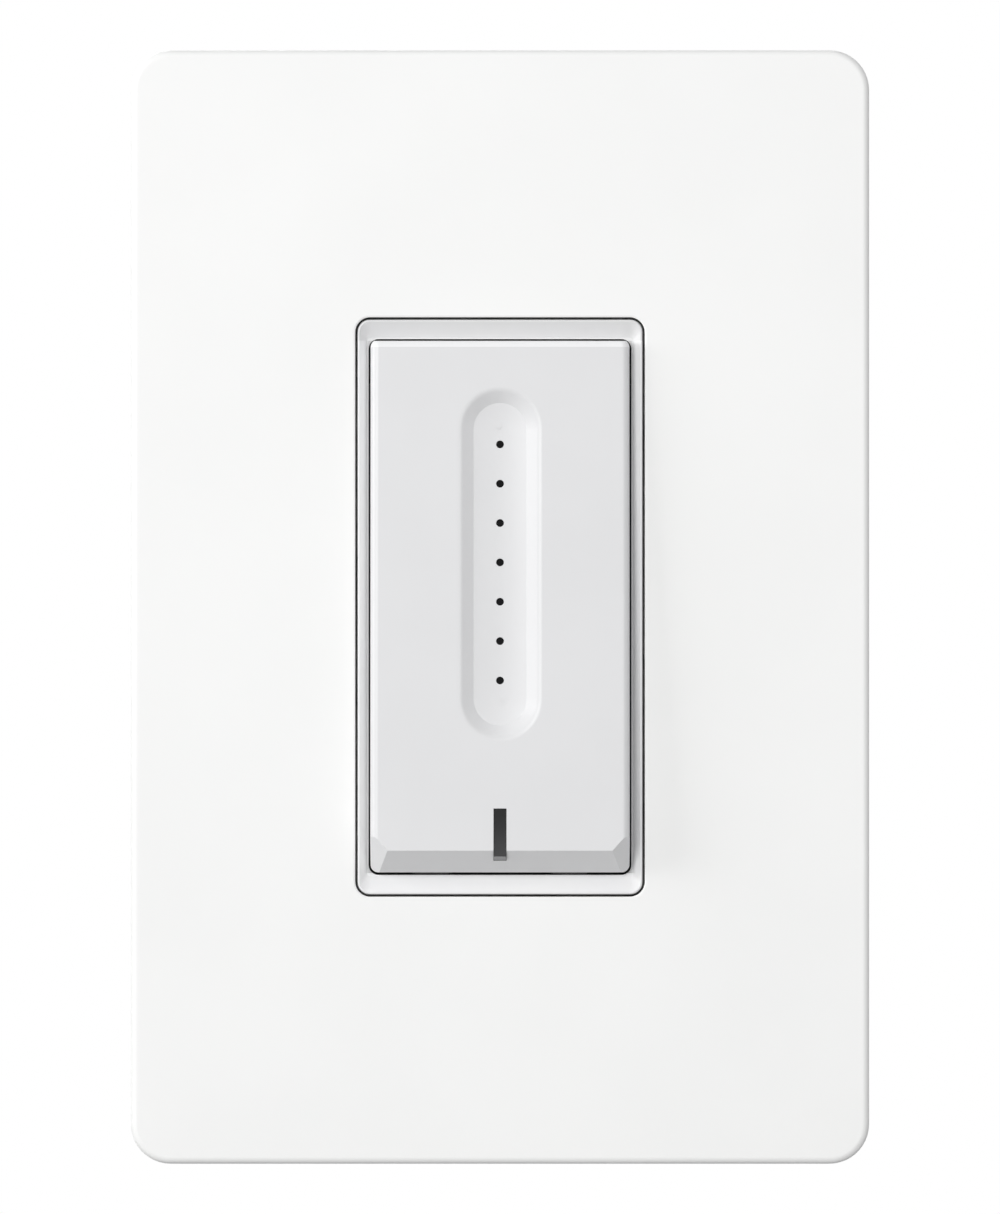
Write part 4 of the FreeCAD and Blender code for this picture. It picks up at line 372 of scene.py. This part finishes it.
metals = {
    "strap_metal": {"colour": paint(219, 219, 217), "second": paint(196, 197, 197), "rough": 0.34,
                    "grain": 0.3 * mm, "stretch": (1, 1, 0.02), "depth": 0.002 * mm,
                    "score": {"across": 12.1, "half": 0.2, "beyond": 41.5, "depth": 0.2 * mm}},
    "plated_steel": {"colour": paint(214, 215, 214), "second": paint(188, 190, 194), "rough": 0.26,
                     "grain": 0.2 * mm, "stretch": (1, 1, 1), "depth": 0.001 * mm},
    "green_screw": {"colour": paint(52, 140, 74), "second": paint(36, 112, 62), "rough": 0.32,
                    "grain": 0.2 * mm, "stretch": (1, 1, 1), "depth": 0.001 * mm},
    "spring_steel": {"colour": paint(186, 186, 184), "second": paint(160, 160, 160), "rough": 0.28,
                     "grain": 0.15 * mm, "stretch": (1, 1, 1), "depth": 0.001 * mm},
    "tinned_steel": {"colour": paint(222, 222, 220), "second": paint(203, 204, 204), "rough": 0.24,
                     "grain": 0.3 * mm, "stretch": (0.05, 1, 1), "depth": 0.001 * mm},
    "terminal_brass": {"colour": paint(226, 190, 112), "second": paint(192, 150, 84), "rough": 0.3,
                       "grain": 0.2 * mm, "stretch": (1, 0.1, 1), "depth": 0.0015 * mm},
    "choke_winding": {"colour": paint(196, 108, 58), "second": paint(166, 82, 40), "rough": 0.25,
                      "grain": 0.4 * mm, "stretch": (1, 1, 1), "depth": 0.001 * mm},
}
otherFinishes = {                            # each with the function that makes it
    "housing_plastic": (erodedPlastic, {
        "colour": paint(52, 52, 55), "second": paint(60, 60, 63), "rough": 0.52, "pit": 0.22 * mm,
        "fine": 0.4, "grit": 0.5, "cloud": 9 * mm, "patches": (0.35, 0.7), "spread": 0.12, "uneven": 0.08,
        "depth": 0.02 * mm}),
    "circuit_board": (laminate, {
        "colour": paint(20, 92, 50), "track": paint(38, 124, 66), "pitch": 0.9, "half": 0.22,
        "area": 2.6 * mm, "uprightAbove": 0.52, "levelBelow": 0.47, "weave": 0.35 * mm, "cloth": 0.2,
        "rough": 0.3, "spread": 0.12, "depth": 0.02 * mm}),
    "smoked_light_guide": (smokedPlastic, {
        "light": paint(18, 18, 19), "dark": paint(14, 14, 15), "foot": -10.0, "top": 20.0, "rough": 0.3,
        "ior": 1.15}),
    "smoked_lens": (smokedPlastic, {
        "light": paint(62, 62, 63), "dark": paint(30, 30, 31), "foot": -29.0, "top": -23.5, "rough": 0.25,
        # end: painted light at the lens's lowest end
        "ior": 1.3, "end": {"below": -28.72, "colour": paint(156, 156, 158)}}),
    "capacitor_sleeve": (sleeve, {
        "colour": paint(40, 52, 96), "band": paint(178, 184, 196), "stripe": -10.2, "wrinkle": 1.2 * mm,
        "stretch": (1, 0.2, 1), "rough": 0.25, "spread": 0.15, "depth": 0.02 * mm}),
    "transistor_epoxy": (partMetal, {
        "colour": paint(44, 44, 45), "metal": paint(214, 214, 212), "below": 8.0, "above": 17.25,
        "rough": 0.5}),
    "header_plastic": (partMetal, {
        "colour": paint(42, 42, 43), "metal": paint(224, 196, 120), "below": -3.5, "above": 0.2,
        "rough": 0.45}),
    "ribbon_film": (ribbonFilm, {
        "colour": paint(206, 158, 66), "line": paint(176, 112, 42), "pitch": 0.5, "half": 0.25,
        "grain": 0.6 * mm, "cloth": 0.2, "rough": 0.22, "spread": 0.1, "depth": 0.01 * mm}),
    "fuse_glass": (glassTube, {
        "glass": paint(246, 248, 249), "metal": paint(214, 214, 212), "middle": 6.4, "half": 3.0,
        "glassRough": 0.05, "grain": 0.4 * mm, "rough": 0.25, "spread": 0.2, "depth": 0.001 * mm}),
}
finishes = {name: mouldedPlastic(name, look) for name, look in plastics.items()}
finishes.update((name, rolledMetal(name, look)) for name, look in metals.items())
finishes.update((name, make(name, look)) for name, (make, look) in otherFinishes.items())
print("finishes made:", len(finishes))

dressed = {
    "plate_plastic": ["wall_plate"], "bezel_plastic": ["face_frame"], "paddle_plastic": ["paddle"],
    "frame_plastic": ["plate_frame"], "smoked_light_guide": ["level_light_guide"],
    "smoked_lens": ["status_lens"], "strap_metal": ["mounting_strap"],
    "plated_steel": ["plate_frame_screws", "box_screws", "housing_screws", "transistor_screws",
                     "terminal_clamps"],
    "green_screw": ["ground_screw"], "vulcanised_fibre": ["screw_retainers"],
    "spring_steel": ["return_springs"], "tinned_steel": ["radio_shield"],
    "circuit_board": ["touch_board", "control_board", "radio_module", "power_board"],
    "light_chip": ["level_leds", "status_led"], "connector_plastic": ["touch_connector", "board_connector"],
    "header_plastic": ["link_header"], "ribbon_film": ["touch_flex"], "switch_case": ["tact_switch"],
    "plunger_plastic": ["switch_plunger"], "housing_plastic": ["rear_housing"],
    "terminal_brass": ["terminal_plates", "terminal_screws"], "transistor_epoxy": ["dimming_transistors"],
    "pad_silicone": ["insulating_pad"], "capacitor_sleeve": ["bulk_capacitor"],
    "film_case": ["film_capacitor"], "choke_winding": ["filter_choke"],
    "transformer_tape": ["supply_transformer"], "varistor_coat": ["varistor"], "fuse_glass": ["fuse"],
}
for slot, names in dressed.items():
    for name in names:
        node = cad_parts[name]
        node.data.materials.clear()
        node.data.materials.append(finishes[slot])
print("frame dressed")


def newObject(name, data):
    piece = bpy.data.objects.new(name, data)
    bpy.context.scene.collection.objects.link(piece)
    return piece


def makeObject(name, mesh):                  # a piece from a mesh that is being built, which it uses up
    data = bpy.data.meshes.new(name)
    mesh.to_mesh(data)
    mesh.free()
    return newObject(name, data)


def solidOf(thing):                          # a mesh of what its modifiers or its bevel make of it
    bpy.context.view_layer.update()
    return bpy.data.meshes.new_from_object(thing.evaluated_get(bpy.context.evaluated_depsgraph_get()))


sharpAngle = math.radians(35)


def dress(piece, slot, body, *nodes):        # its finish, the body it rides on and what it stands for
    piece.data.materials.clear()
    piece.data.materials.append(finishes[slot])
    piece.data.shade_smooth()
    piece.data.set_sharp_from_angle(angle=sharpAngle)
    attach(piece, body)
    if nodes:
        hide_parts(*nodes)


turned = {                                   # lengths in millimetres
    "columns": 24, "weld": 1e-4,             # round the axis, and what counts as one point
    "domeSteps": 6, "rim": 0.1,              # a domed head's arc, and the bevel at its rim
    "tipEdge": 0.05, "clear": 0.4,           # a tip's bevel, and how far above a head its cutter starts
}
threadShape = (0.0, 0.0, 0.5, 1.0, 1.0, 0.5)         # the height of a thread, in steps along its pitch


def seat(origin, ahead, across):             # where a piece drawn in millimetres along Z goes
    ahead, across = Vector(ahead), Vector(across)
    turn = Matrix((across, ahead.cross(across), ahead)).transposed().to_4x4()
    return Matrix.Translation(origin) @ turn @ Matrix.Scale(mm, 4)


def skin(rows):                              # a closed surface over rings of (along, radius)
    mesh = bmesh.new()
    columns = turned["columns"]
    turns = [2 * math.pi * column / columns for column in range(columns + 1)]
    rings = []
    for row in rows:
        rings.append([mesh.verts.new((radius * math.cos(turn), radius * math.sin(turn), along))
                      for turn, (along, radius) in zip(turns, row)])
    for near, far in zip(rings, rings[1:]):
        for i in range(columns):
            mesh.faces.new((near[i], near[i + 1], far[i + 1], far[i]))
    bmesh.ops.remove_doubles(mesh, verts=mesh.verts, dist=turned["weld"])
    bmesh.ops.dissolve_degenerate(mesh, edges=mesh.edges, dist=turned["weld"])
    bmesh.ops.recalc_face_normals(mesh, faces=mesh.faces)
    return mesh


def plainRings(profile, corner=None):        # round rings, or six-sided ones where the corner comes first
    columns, side = turned["columns"], math.pi / 3
    rows = []
    for along, radius in profile:
        row = []
        for column in range(columns + 1):
            reach = radius
            if corner:
                turn = 2 * math.pi * column / columns % side - side / 2
                reach = min(radius, corner * math.cos(side / 2) / math.cos(turn))
            row.append((along, reach))
        rows.append(row)
    return rows


def threadRings(start, end, core, crest, pitch):     # a right-hand thread that runs out at both ends
    columns, steps = turned["columns"], len(threadShape)
    rows = []
    for step in range(steps * math.ceil((end - start) / pitch) + steps + 1):
        row = []
        for column in range(columns + 1):
            along = start + (step / steps + column / columns - 1) * pitch
            along = min(max(along, start), end)
            height = threadShape[step % steps]
            height *= min(1.0, (along - start) / pitch, (end - along) / pitch)
            row.append((along, core + (crest - core) * height))
        rows.append(row)
    return rows


def domedHead(radius, rise, thick):
    steps, rim = turned["domeSteps"], turned["rim"]
    turns = [math.radians(90 * step / steps) for step in range(steps + 1)]
    dome = [(rise * (1 - math.cos(turn)), radius * math.sin(turn)) for turn in turns]
    return dome + [(thick - rim, radius), (thick, radius - rim)]


def recess(outline, depth, narrow):          # the block that cuts a driver recess, open above the head
    mesh = bmesh.new()
    rings = [[mesh.verts.new((x * share, y * share, along)) for x, y in outline]
             for along, share in ((-turned["clear"], 1.0), (depth, narrow))]
    mesh.faces.new(rings[0])
    mesh.faces.new(rings[1])
    for i in range(len(outline)):
        mesh.faces.new((rings[0][i - 1], rings[0][i], rings[1][i], rings[1][i - 1]))
    bmesh.ops.recalc_face_normals(mesh, faces=mesh.faces)
    return mesh


def slotOutline(length, width):
    return [(x * length / 2, y * width / 2) for x, y in ((1, 1), (-1, 1), (-1, -1), (1, -1))]


def crossOutline(reach, width):
    arm = [(reach, -width / 2), (reach, width / 2), (width / 2, width / 2)]
    turns = [(1, 0), (0, 1), (-1, 0), (0, -1)]
    return [(c * x - s * y, s * x + c * y) for c, s in turns for x, y in arm]


def carve(piece, outline, depth, narrow):    # cuts a recess, and leaves no modifier behind
    cutter = makeObject("cutter", recess(outline, depth, narrow))
    change = piece.modifiers.new("recess", "BOOLEAN")
    change.operation = "DIFFERENCE"
    change.solver = "EXACT"
    change.object = cutter
    data = solidOf(piece)
    piece.modifiers.clear()
    piece.data = data
    bpy.data.objects.remove(cutter)


def seatsOf(node, tip, across, radius):      # one at each head, where tip is the way its screw points
    low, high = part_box(node)
    choices = []
    for i in range(3):
        if tip[i]:
            choices.append([low[i] if tip[i] > 0 else high[i]])
        elif high[i] - low[i] > 3 * radius * mm:     # wide enough for two heads
            choices.append([low[i] + radius * mm, high[i] - radius * mm])
        else:
            choices.append([(low[i] + high[i]) / 2])
    return [seat((x, y, z), tip, across) for x in choices[0] for y in choices[1] for z in choices[2]]


def addScrews(name, look):                   # one of them is shaped, and a copy goes to each seat
    reach, thin, edge = look["reach"], look["core"] - look["tip"], turned["tipEdge"]
    rows = plainRings(look["head"], look.get("corner")) + plainRings(look["neck"])
    rows += threadRings(look["start"], reach - look["tip"], look["core"], look["crest"], look["pitch"])
    rows += plainRings([(reach - edge, thin + edge), (reach, thin), (reach, 0.0)])
    shape = makeObject(name + "Shape", skin(rows))
    for outline, depth, narrow in look["recesses"]:
        carve(shape, outline, depth, narrow)
    seats = []
    for tip in look["tips"]:
        seats += seatsOf(look["node"], tip, look["across"], look["radius"])
    for number, place in enumerate(seats, start=1):
        data = shape.data.copy()
        data.transform(place)
        dress(newObject(f"{name}{number}", data), look["slot"], "device", look["node"])
    bpy.data.objects.remove(shape)
    print(name, len(seats))


addScrews("boxScrew", {
    "node": "box_screws", "slot": "plated_steel", "tips": [(0, 1, 0)], "across": (1, 0, 0), "radius": 3.45,
    "head": [(0, 0)] + domedHead(3.45, 1.3, 2.2), "neck": [(2.2, 1.65), (4.1, 1.65), (4.15, 1.28)],
    "start": 4.15, "reach": 27.6, "tip": 0.5, "core": 1.28, "crest": 1.75, "pitch": 0.794,
    "recesses": [(slotOutline(7.4, 0.9), 1.15, 1.0), (crossOutline(1.75, 0.75), 1.75, 0.45)]})
addScrews("plateScrew", {
    "node": "plate_frame_screws", "slot": "plated_steel", "tips": [(0, 1, 0)], "across": (1, 0, 0),
    "radius": 3.3, "head": [(0, 0), (0, 3.15), (0.08, 3.2), (0.2, 3.08)],
    "neck": [(1.55, 1.7), (1.7, 1.28)],
    "start": 1.7, "reach": 7.1, "tip": 0.5, "core": 1.28, "crest": 1.75, "pitch": 0.794,
    "recesses": [(crossOutline(1.75, 0.75), 1.5, 0.45)]})
addScrews("housingScrew", {
    "node": "housing_screws", "slot": "plated_steel", "tips": [(0, -1, 0)], "across": (1, 0, 0),
    "radius": 2.5, "head": [(0, 0)] + domedHead(2.5, 1.2, 2.0), "neck": [(2.0, 1.15), (2.3, 0.95)],
    "start": 2.3, "reach": 18.5, "tip": 0.7, "core": 0.95, "crest": 1.4, "pitch": 1.1,
    "recesses": [(crossOutline(1.5, 0.65), 1.4, 0.45)]})
addScrews("terminalScrew", {
    "node": "terminal_screws", "slot": "terminal_brass", "tips": [(1, 0, 0), (-1, 0, 0)],
    "across": (0, 0, 1), "radius": 3.7, "head": [(0, 0)] + domedHead(3.7, 0.9, 1.8), "neck": [(1.8, 1.62)],
    "start": 1.8, "reach": 8.0, "tip": 0.5, "core": 1.55, "crest": 2.05, "pitch": 0.794,
    "recesses": [(slotOutline(7.8, 1.0), 0.95, 1.0), (crossOutline(1.9, 0.8), 1.5, 0.45)]})
addScrews("groundScrew", {
    "node": "ground_screw", "slot": "green_screw", "tips": [(0, 0, 1)], "across": (1, 0, 0), "radius": 3.7,
    "head": [(0, 0), (0, 2.6), (0.15, 3.1), (0.55, 3.7), (1.5, 3.7), (1.95, 3.1), (2.0, 2.9)],
    "corner": 3.7, "neck": [(2.0, 1.4)], "start": 2.0, "reach": 4.7, "tip": 0.4, "core": 1.28,
    "crest": 1.75, "pitch": 0.794, "recesses": [(slotOutline(7.8, 1.0), 0.9, 1.0)]})
addScrews("transistorScrew", {
    "node": "transistor_screws", "slot": "plated_steel", "tips": [(0, 0, 1)], "across": (1, 0, 0),
    "radius": 2.8, "head": [(0, 0)] + domedHead(2.8, 1.2, 2.0), "neck": [(2.0, 1.2)],
    "start": 2.0, "reach": 5.8, "tip": 0.4, "core": 1.15, "crest": 1.5, "pitch": 0.5,
    "recesses": [(crossOutline(1.5, 0.65), 1.4, 0.45)]})


def middleOf(node):
    return [(a + b) / 2 for a, b in zip(*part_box(node))]


def addTurned(name, look):                   # turned from a profile of (along, radius), front to back
    x, _, z = middleOf(look["node"])
    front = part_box(look["node"])[0][1]
    piece = makeObject(name, skin(plainRings(look["profile"])))
    for outline, depth, narrow in look["recesses"]:
        carve(piece, outline, depth, narrow)
    piece.data.transform(seat((x, front, z), (0, 1, 0), (1, 0, 0)))
    dress(piece, look["slot"], "device", look["node"])


addTurned("capacitorSleeve", {
    "node": "bulk_capacitor", "slot": "capacitor_sleeve", "recesses": [],
    "profile": [(0.35, 0), (0.35, 3.05), (0.12, 3.05), (0, 3.15), (0, 3.6), (0.12, 3.86), (0.4, 4),
                (13.2, 4), (13.5, 3.76), (13.8, 3.62), (14.1, 3.76), (14.4, 4), (15.7, 4), (15.95, 3.8),
                (16, 3.1), (15.9, 0)]})
addTurned("capacitorCan", {
    "node": "bulk_capacitor", "slot": "tinned_steel", "recesses": [(crossOutline(2.5, 0.22), 0.24, 1.0)],
    "profile": [(0.14, 0), (0.14, 2.9), (0.2, 3.02), (0.34, 3.02), (0.34, 0)]})
addTurned("chokeCore", {
    "node": "filter_choke", "slot": "switch_case", "recesses": [],
    "profile": [(0.7, 3.2), (0.7, 4.0), (0.85, 4.3), (1.2, 4.4), (6.8, 4.4), (7.15, 4.3), (7.3, 4.0),
                (7.3, 3.2), (7.15, 2.9), (6.8, 2.8), (1.2, 2.8), (0.85, 2.9), (0.7, 3.2)]})


winding = {                                  # lengths in millimetres, the gap at the leads in degrees
    "turns": 23, "steps": 20, "wire": 0.29, "middle": 3.6, "wide": 1.1, "tall": 3.7, "square": 0.5,
    "gap": 16, "foot": 4.0,
}


def pushedOut(value):                        # takes a circle's sine or cosine towards a square's
    return math.copysign(abs(value) ** winding["square"], value)


def windingPath():                           # round and round the choke's core, with two straight leads
    steps = winding["turns"] * winding["steps"]
    points = []
    for step in range(steps + 1):
        share = step / steps
        turn = math.radians(winding["gap"] + (360 - 2 * winding["gap"]) * share)
        slant = 2 * math.pi * winding["turns"] * share + math.pi / 2
        radius = winding["middle"] + winding["wide"] * pushedOut(math.cos(slant))
        along = winding["tall"] * pushedOut(math.sin(slant))
        points.append((radius * math.cos(turn), radius * math.sin(turn), along))
    leads = [points[end][:2] + (winding["foot"],) for end in (0, -1)]
    return leads[:1] + points + leads[1:]


def addWinding():
    points = windingPath()
    data = bpy.data.curves.new("windingLine", "CURVE")
    data.dimensions = "3D"
    data.bevel_depth = winding["wire"]
    data.bevel_resolution = 2
    data.use_fill_caps = True
    line = data.splines.new("POLY")
    line.points.add(len(points) - 1)
    for point, place in zip(line.points, points):
        point.co = place + (1.0,)
    wire = newObject("windingLine", data)
    mesh = solidOf(wire)
    bpy.data.objects.remove(wire)
    mesh.transform(seat(middleOf("filter_choke"), (0, 1, 0), (1, 0, 0)))
    dress(newObject("chokeWinding", mesh), "choke_winding", "device", "filter_choke")


addWinding()


def roundedBlock(corners, edge):             # a box from its two corners, in metres, with its edges rounded
    low, high = corners
    mesh = bmesh.new()
    bmesh.ops.create_cube(mesh, size=1.0)
    for vertex in mesh.verts:
        vertex.co = [a + (b - a) * (c + 0.5) for a, b, c in zip(low, high, vertex.co)]
    bmesh.ops.bevel(mesh, geom=mesh.edges, offset=edge, segments=2, profile=0.5, affect="EDGES")
    return mesh


def joined(meshes):                          # several blocks as one piece
    whole = bmesh.new()
    for mesh in meshes:
        data = bpy.data.meshes.new("block")
        mesh.to_mesh(data)
        mesh.free()
        whole.from_mesh(data)
        bpy.data.meshes.remove(data)
    return whole


transformer = {                              # blocks, as shares of the node's box across, deep and up
    "transformerBobbin": ("switch_case", 0.25 * mm, [
        ((0, 1), (0, 0.09), (0, 1)), ((0, 1), (0.91, 1), (0, 1)),
        ((0.16, 0.84), (0.08, 0.92), (0.16, 0.84))]),
    "transformerCore": ("switch_case", 0.18 * mm, [
        ((0, 1), (0.02, 0.495), (0.3, 0.7)), ((0, 1), (0.505, 0.98), (0.3, 0.7))]),
    "transformerTape": ("transformer_tape", 0.7 * mm, [
        ((0.07, 0.93), (0.1, 0.9), (0.1, 0.9)), ((0.1, 0.93), (0.14, 0.86), (0.09, 0.5))]),
}


def addTransformer():
    low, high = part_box("supply_transformer")
    for name, (slot, edge, blocks) in transformer.items():
        meshes = []
        for shares in blocks:
            ends = [[a + (b - a) * share[i] for a, b, share in zip(low, high, shares)] for i in (0, 1)]
            meshes.append(roundedBlock(ends, edge))
        dress(makeObject(name, joined(meshes)), slot, "device", "supply_transformer")


def stack(x, z, pitch, count, size):         # parts of one size, one above the other
    return [(x, z + pitch * row) + size for row in range(count)]


boardEdge = 0.06 * mm
small, larger, leg = (1.0, 0.5, 0.5), (1.6, 0.8, 0.8), (0.9, 0.35, 0.3)
boardParts = {                               # middle across, middle up, width, height and thickness in mm
    "controlChips": ("switch_case", [(9.5, 1.5, 6.0, 6.0, 0.85), (-9.6, 0.5, 5.0, 4.4, 1.2),
                                     (-9.8, -24.0, 3.0, 1.6, 1.0), (10.2, 15.0, 3.0, 1.6, 1.0)]),
    "controlCapacitors": ("pad_silicone", stack(5.0, -8.0, 2.2, 3, small) + stack(-5.2, -8.0, 2.2, 3, small)
                          + stack(12.8, 7.0, 2.0, 3, larger) + stack(-12.8, 7.0, 2.0, 3, larger)),
    "controlLegs": ("tinned_steel", stack(-9.6 - 2.9, -1.0, 1.0, 4, leg)     # both sides of a chip
                    + stack(-9.6 + 2.9, -1.0, 1.0, 4, leg)),
}


def addBoardParts():                         # on the front of the control board
    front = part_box("control_board")[0][1]
    for name, (slot, blocks) in boardParts.items():
        meshes = []
        for x, z, wide, tall, thick in blocks:
            low = [(x - wide / 2) * mm, front - thick * mm, (z - tall / 2) * mm]
            high = [(x + wide / 2) * mm, front, (z + tall / 2) * mm]
            meshes.append(roundedBlock((low, high), boardEdge))
        dress(makeObject(name, joined(meshes)), slot, "device")


addTransformer()
addBoardParts()


labelPlate = {                               # the recess's size and depth, then the plate in it
    "across": 27.0, "up": 20.0, "sunk": 0.3, "margin": 0.35, "thick": 0.16, "corner": 1.0, "steps": 5,
    "edge": 0.05,
}


def addLabelPlate():                         # a bare metal plate in the recess on the back
    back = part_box("rear_housing")[1][1] - labelPlate["sunk"] * mm
    half = [(labelPlate[size] / 2 - labelPlate["margin"]) * mm for size in ("across", "up")]
    corner, steps = labelPlate["corner"] * mm, labelPlate["steps"]
    thick, edge = labelPlate["thick"] * mm, labelPlate["edge"] * mm
    outline = []
    for x, z, start in ((1, 1, 0), (-1, 1, 90), (-1, -1, 180), (1, -1, 270)):
        for step in range(steps + 1):
            turn = math.radians(start + 90 * step / steps)
            outline.append((x * (half[0] - corner) + corner * math.cos(turn),
                            z * (half[1] - corner) + corner * math.sin(turn)))
    mesh = bmesh.new()
    rings = []
    for along, inset in ((0.0, 0.0), (thick - edge, 0.0), (thick, edge)):
        shares = [1 - inset / size for size in half]
        rings.append([mesh.verts.new((x * shares[0], back + along, z * shares[1])) for x, z in outline])
    for near, far in zip(rings, rings[1:]):
        for i in range(len(outline)):
            mesh.faces.new((near[i - 1], near[i], far[i], far[i - 1]))
    mesh.faces.new(rings[0])
    mesh.faces.new(rings[-1])
    bmesh.ops.recalc_face_normals(mesh, faces=mesh.faces)
    dress(makeObject("labelPlate", mesh), "tinned_steel", "device")


addLabelPlate()
print("inner parts and label plate made")


shot = {"lens": 200.0, "sensor": 36.0, "longSide": 140.3 * mm, "near": 0.05, "far": 20.0}


def addCamera():                             # straight at the face, far enough for an almost parallel view
    data = bpy.data.cameras.new("shotCamera")
    data.lens = shot["lens"]
    data.sensor_width = shot["sensor"]
    data.clip_start = shot["near"]
    data.clip_end = shot["far"]
    camera = newObject("shotCamera", data)
    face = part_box("wall_plate")[0][1]        # the long side is measured in the plate's face
    camera.location = (0, face - shot["longSide"] * shot["lens"] / shot["sensor"], 0)
    camera.rotation_euler = (math.radians(90), 0, 0)
    bpy.context.scene.camera = camera


lamps = {
    "keyLamp": {"from": (-0.45, -1.1, 0.25), "size": (0.4, 0.4), "power": 6.4},
    "fillLamp": {"from": (0.45, -1.1, 0.1), "size": (0.4, 0.4), "power": 2.9},
    "sideLamp": {"from": (-1.15, -0.35, 0.25), "size": (0.5, 0.5), "power": 5.9},
    "backLamp": {"from": (-0.5, 0.95, 0.6), "size": (0.9, 0.6), "power": 8.0},
}


def addLamps():
    for name, lamp in lamps.items():
        data = bpy.data.lights.new(name, "AREA")
        data.shape = "RECTANGLE"
        data.size, data.size_y = lamp["size"]
        data.energy = lamp["power"]
        piece = newObject(name, data)
        piece.location = lamp["from"]
        piece.rotation_euler = (-Vector(lamp["from"])).to_track_quat("-Z", "Y").to_euler()
        piece.visible_camera = False


room = {"above": 0.31, "below": 0.27, "tint": paint(250, 251, 252)}


def addRoom():                               # soft light, more from above, and white where it is seen
    world = bpy.data.worlds.new("room")
    bpy.context.scene.world = world
    surface = Surface(world)
    seen = [surface.node("LightPath", {}, {}, ray)
            for ray in ("Is Camera Ray", "Is Glossy Ray", "Is Transmission Ray")]
    mask = (seen[0] + seen[1] + seen[2]) > 0.5
    up = surface.node("SeparateXYZ", {}, {0: surface.node("TexCoord", {}, {}, "Generated")}, "Z")
    level = room["below"] + (room["above"] - room["below"]) * (0.5 + 0.5 * up)
    soft = surface.node("Background", {}, {"Color": room["tint"], "Strength": level})
    white = surface.node("Background", {}, {"Color": (1, 1, 1, 1), "Strength": 1.0})
    both = surface.node("MixShader", {}, {0: mask, 1: soft, 2: white})
    surface.node("OutputWorld", {}, {"Surface": both})


floorSheet = {
    "size": (1.2, 0.9), "near": -0.75, "level": -86 * mm, "colour": paint(243, 243, 242),
    "second": paint(240, 240, 239), "tooth": 2 * mm, "rough": 0.7, "spread": 0.1, "depth": 0.02 * mm,
}


def addFloor():
    width, depth = floorSheet["size"]
    near, level = floorSheet["near"], floorSheet["level"]
    corners = [(-width / 2, near), (width / 2, near), (width / 2, near + depth), (-width / 2, near + depth)]
    mesh = bpy.data.meshes.new("floorSheet")
    mesh.from_pydata([(x, y, level) for x, y in corners], [], [(0, 1, 2, 3)])
    floor = newObject("floorSheet", mesh)
    material, surface = newMaterial("floorPaint")
    tooth = surface.noise(floorSheet["tooth"], detail=3.0)
    surface.coat({"Base Color": surface.mix(tooth, floorSheet["colour"], floorSheet["second"]),
                  "Roughness": floorSheet["rough"] + floorSheet["spread"] * tooth.swing(),
                  "Normal": surface.bump(tooth, floorSheet["depth"])})
    mesh.materials.append(material)
    floor.visible_diffuse = False            # it throws no light up at the object


addCamera()
addLamps()
addRoom()
addFloor()
bpy.context.scene.view_settings.view_transform = "Standard"
print("stage set")
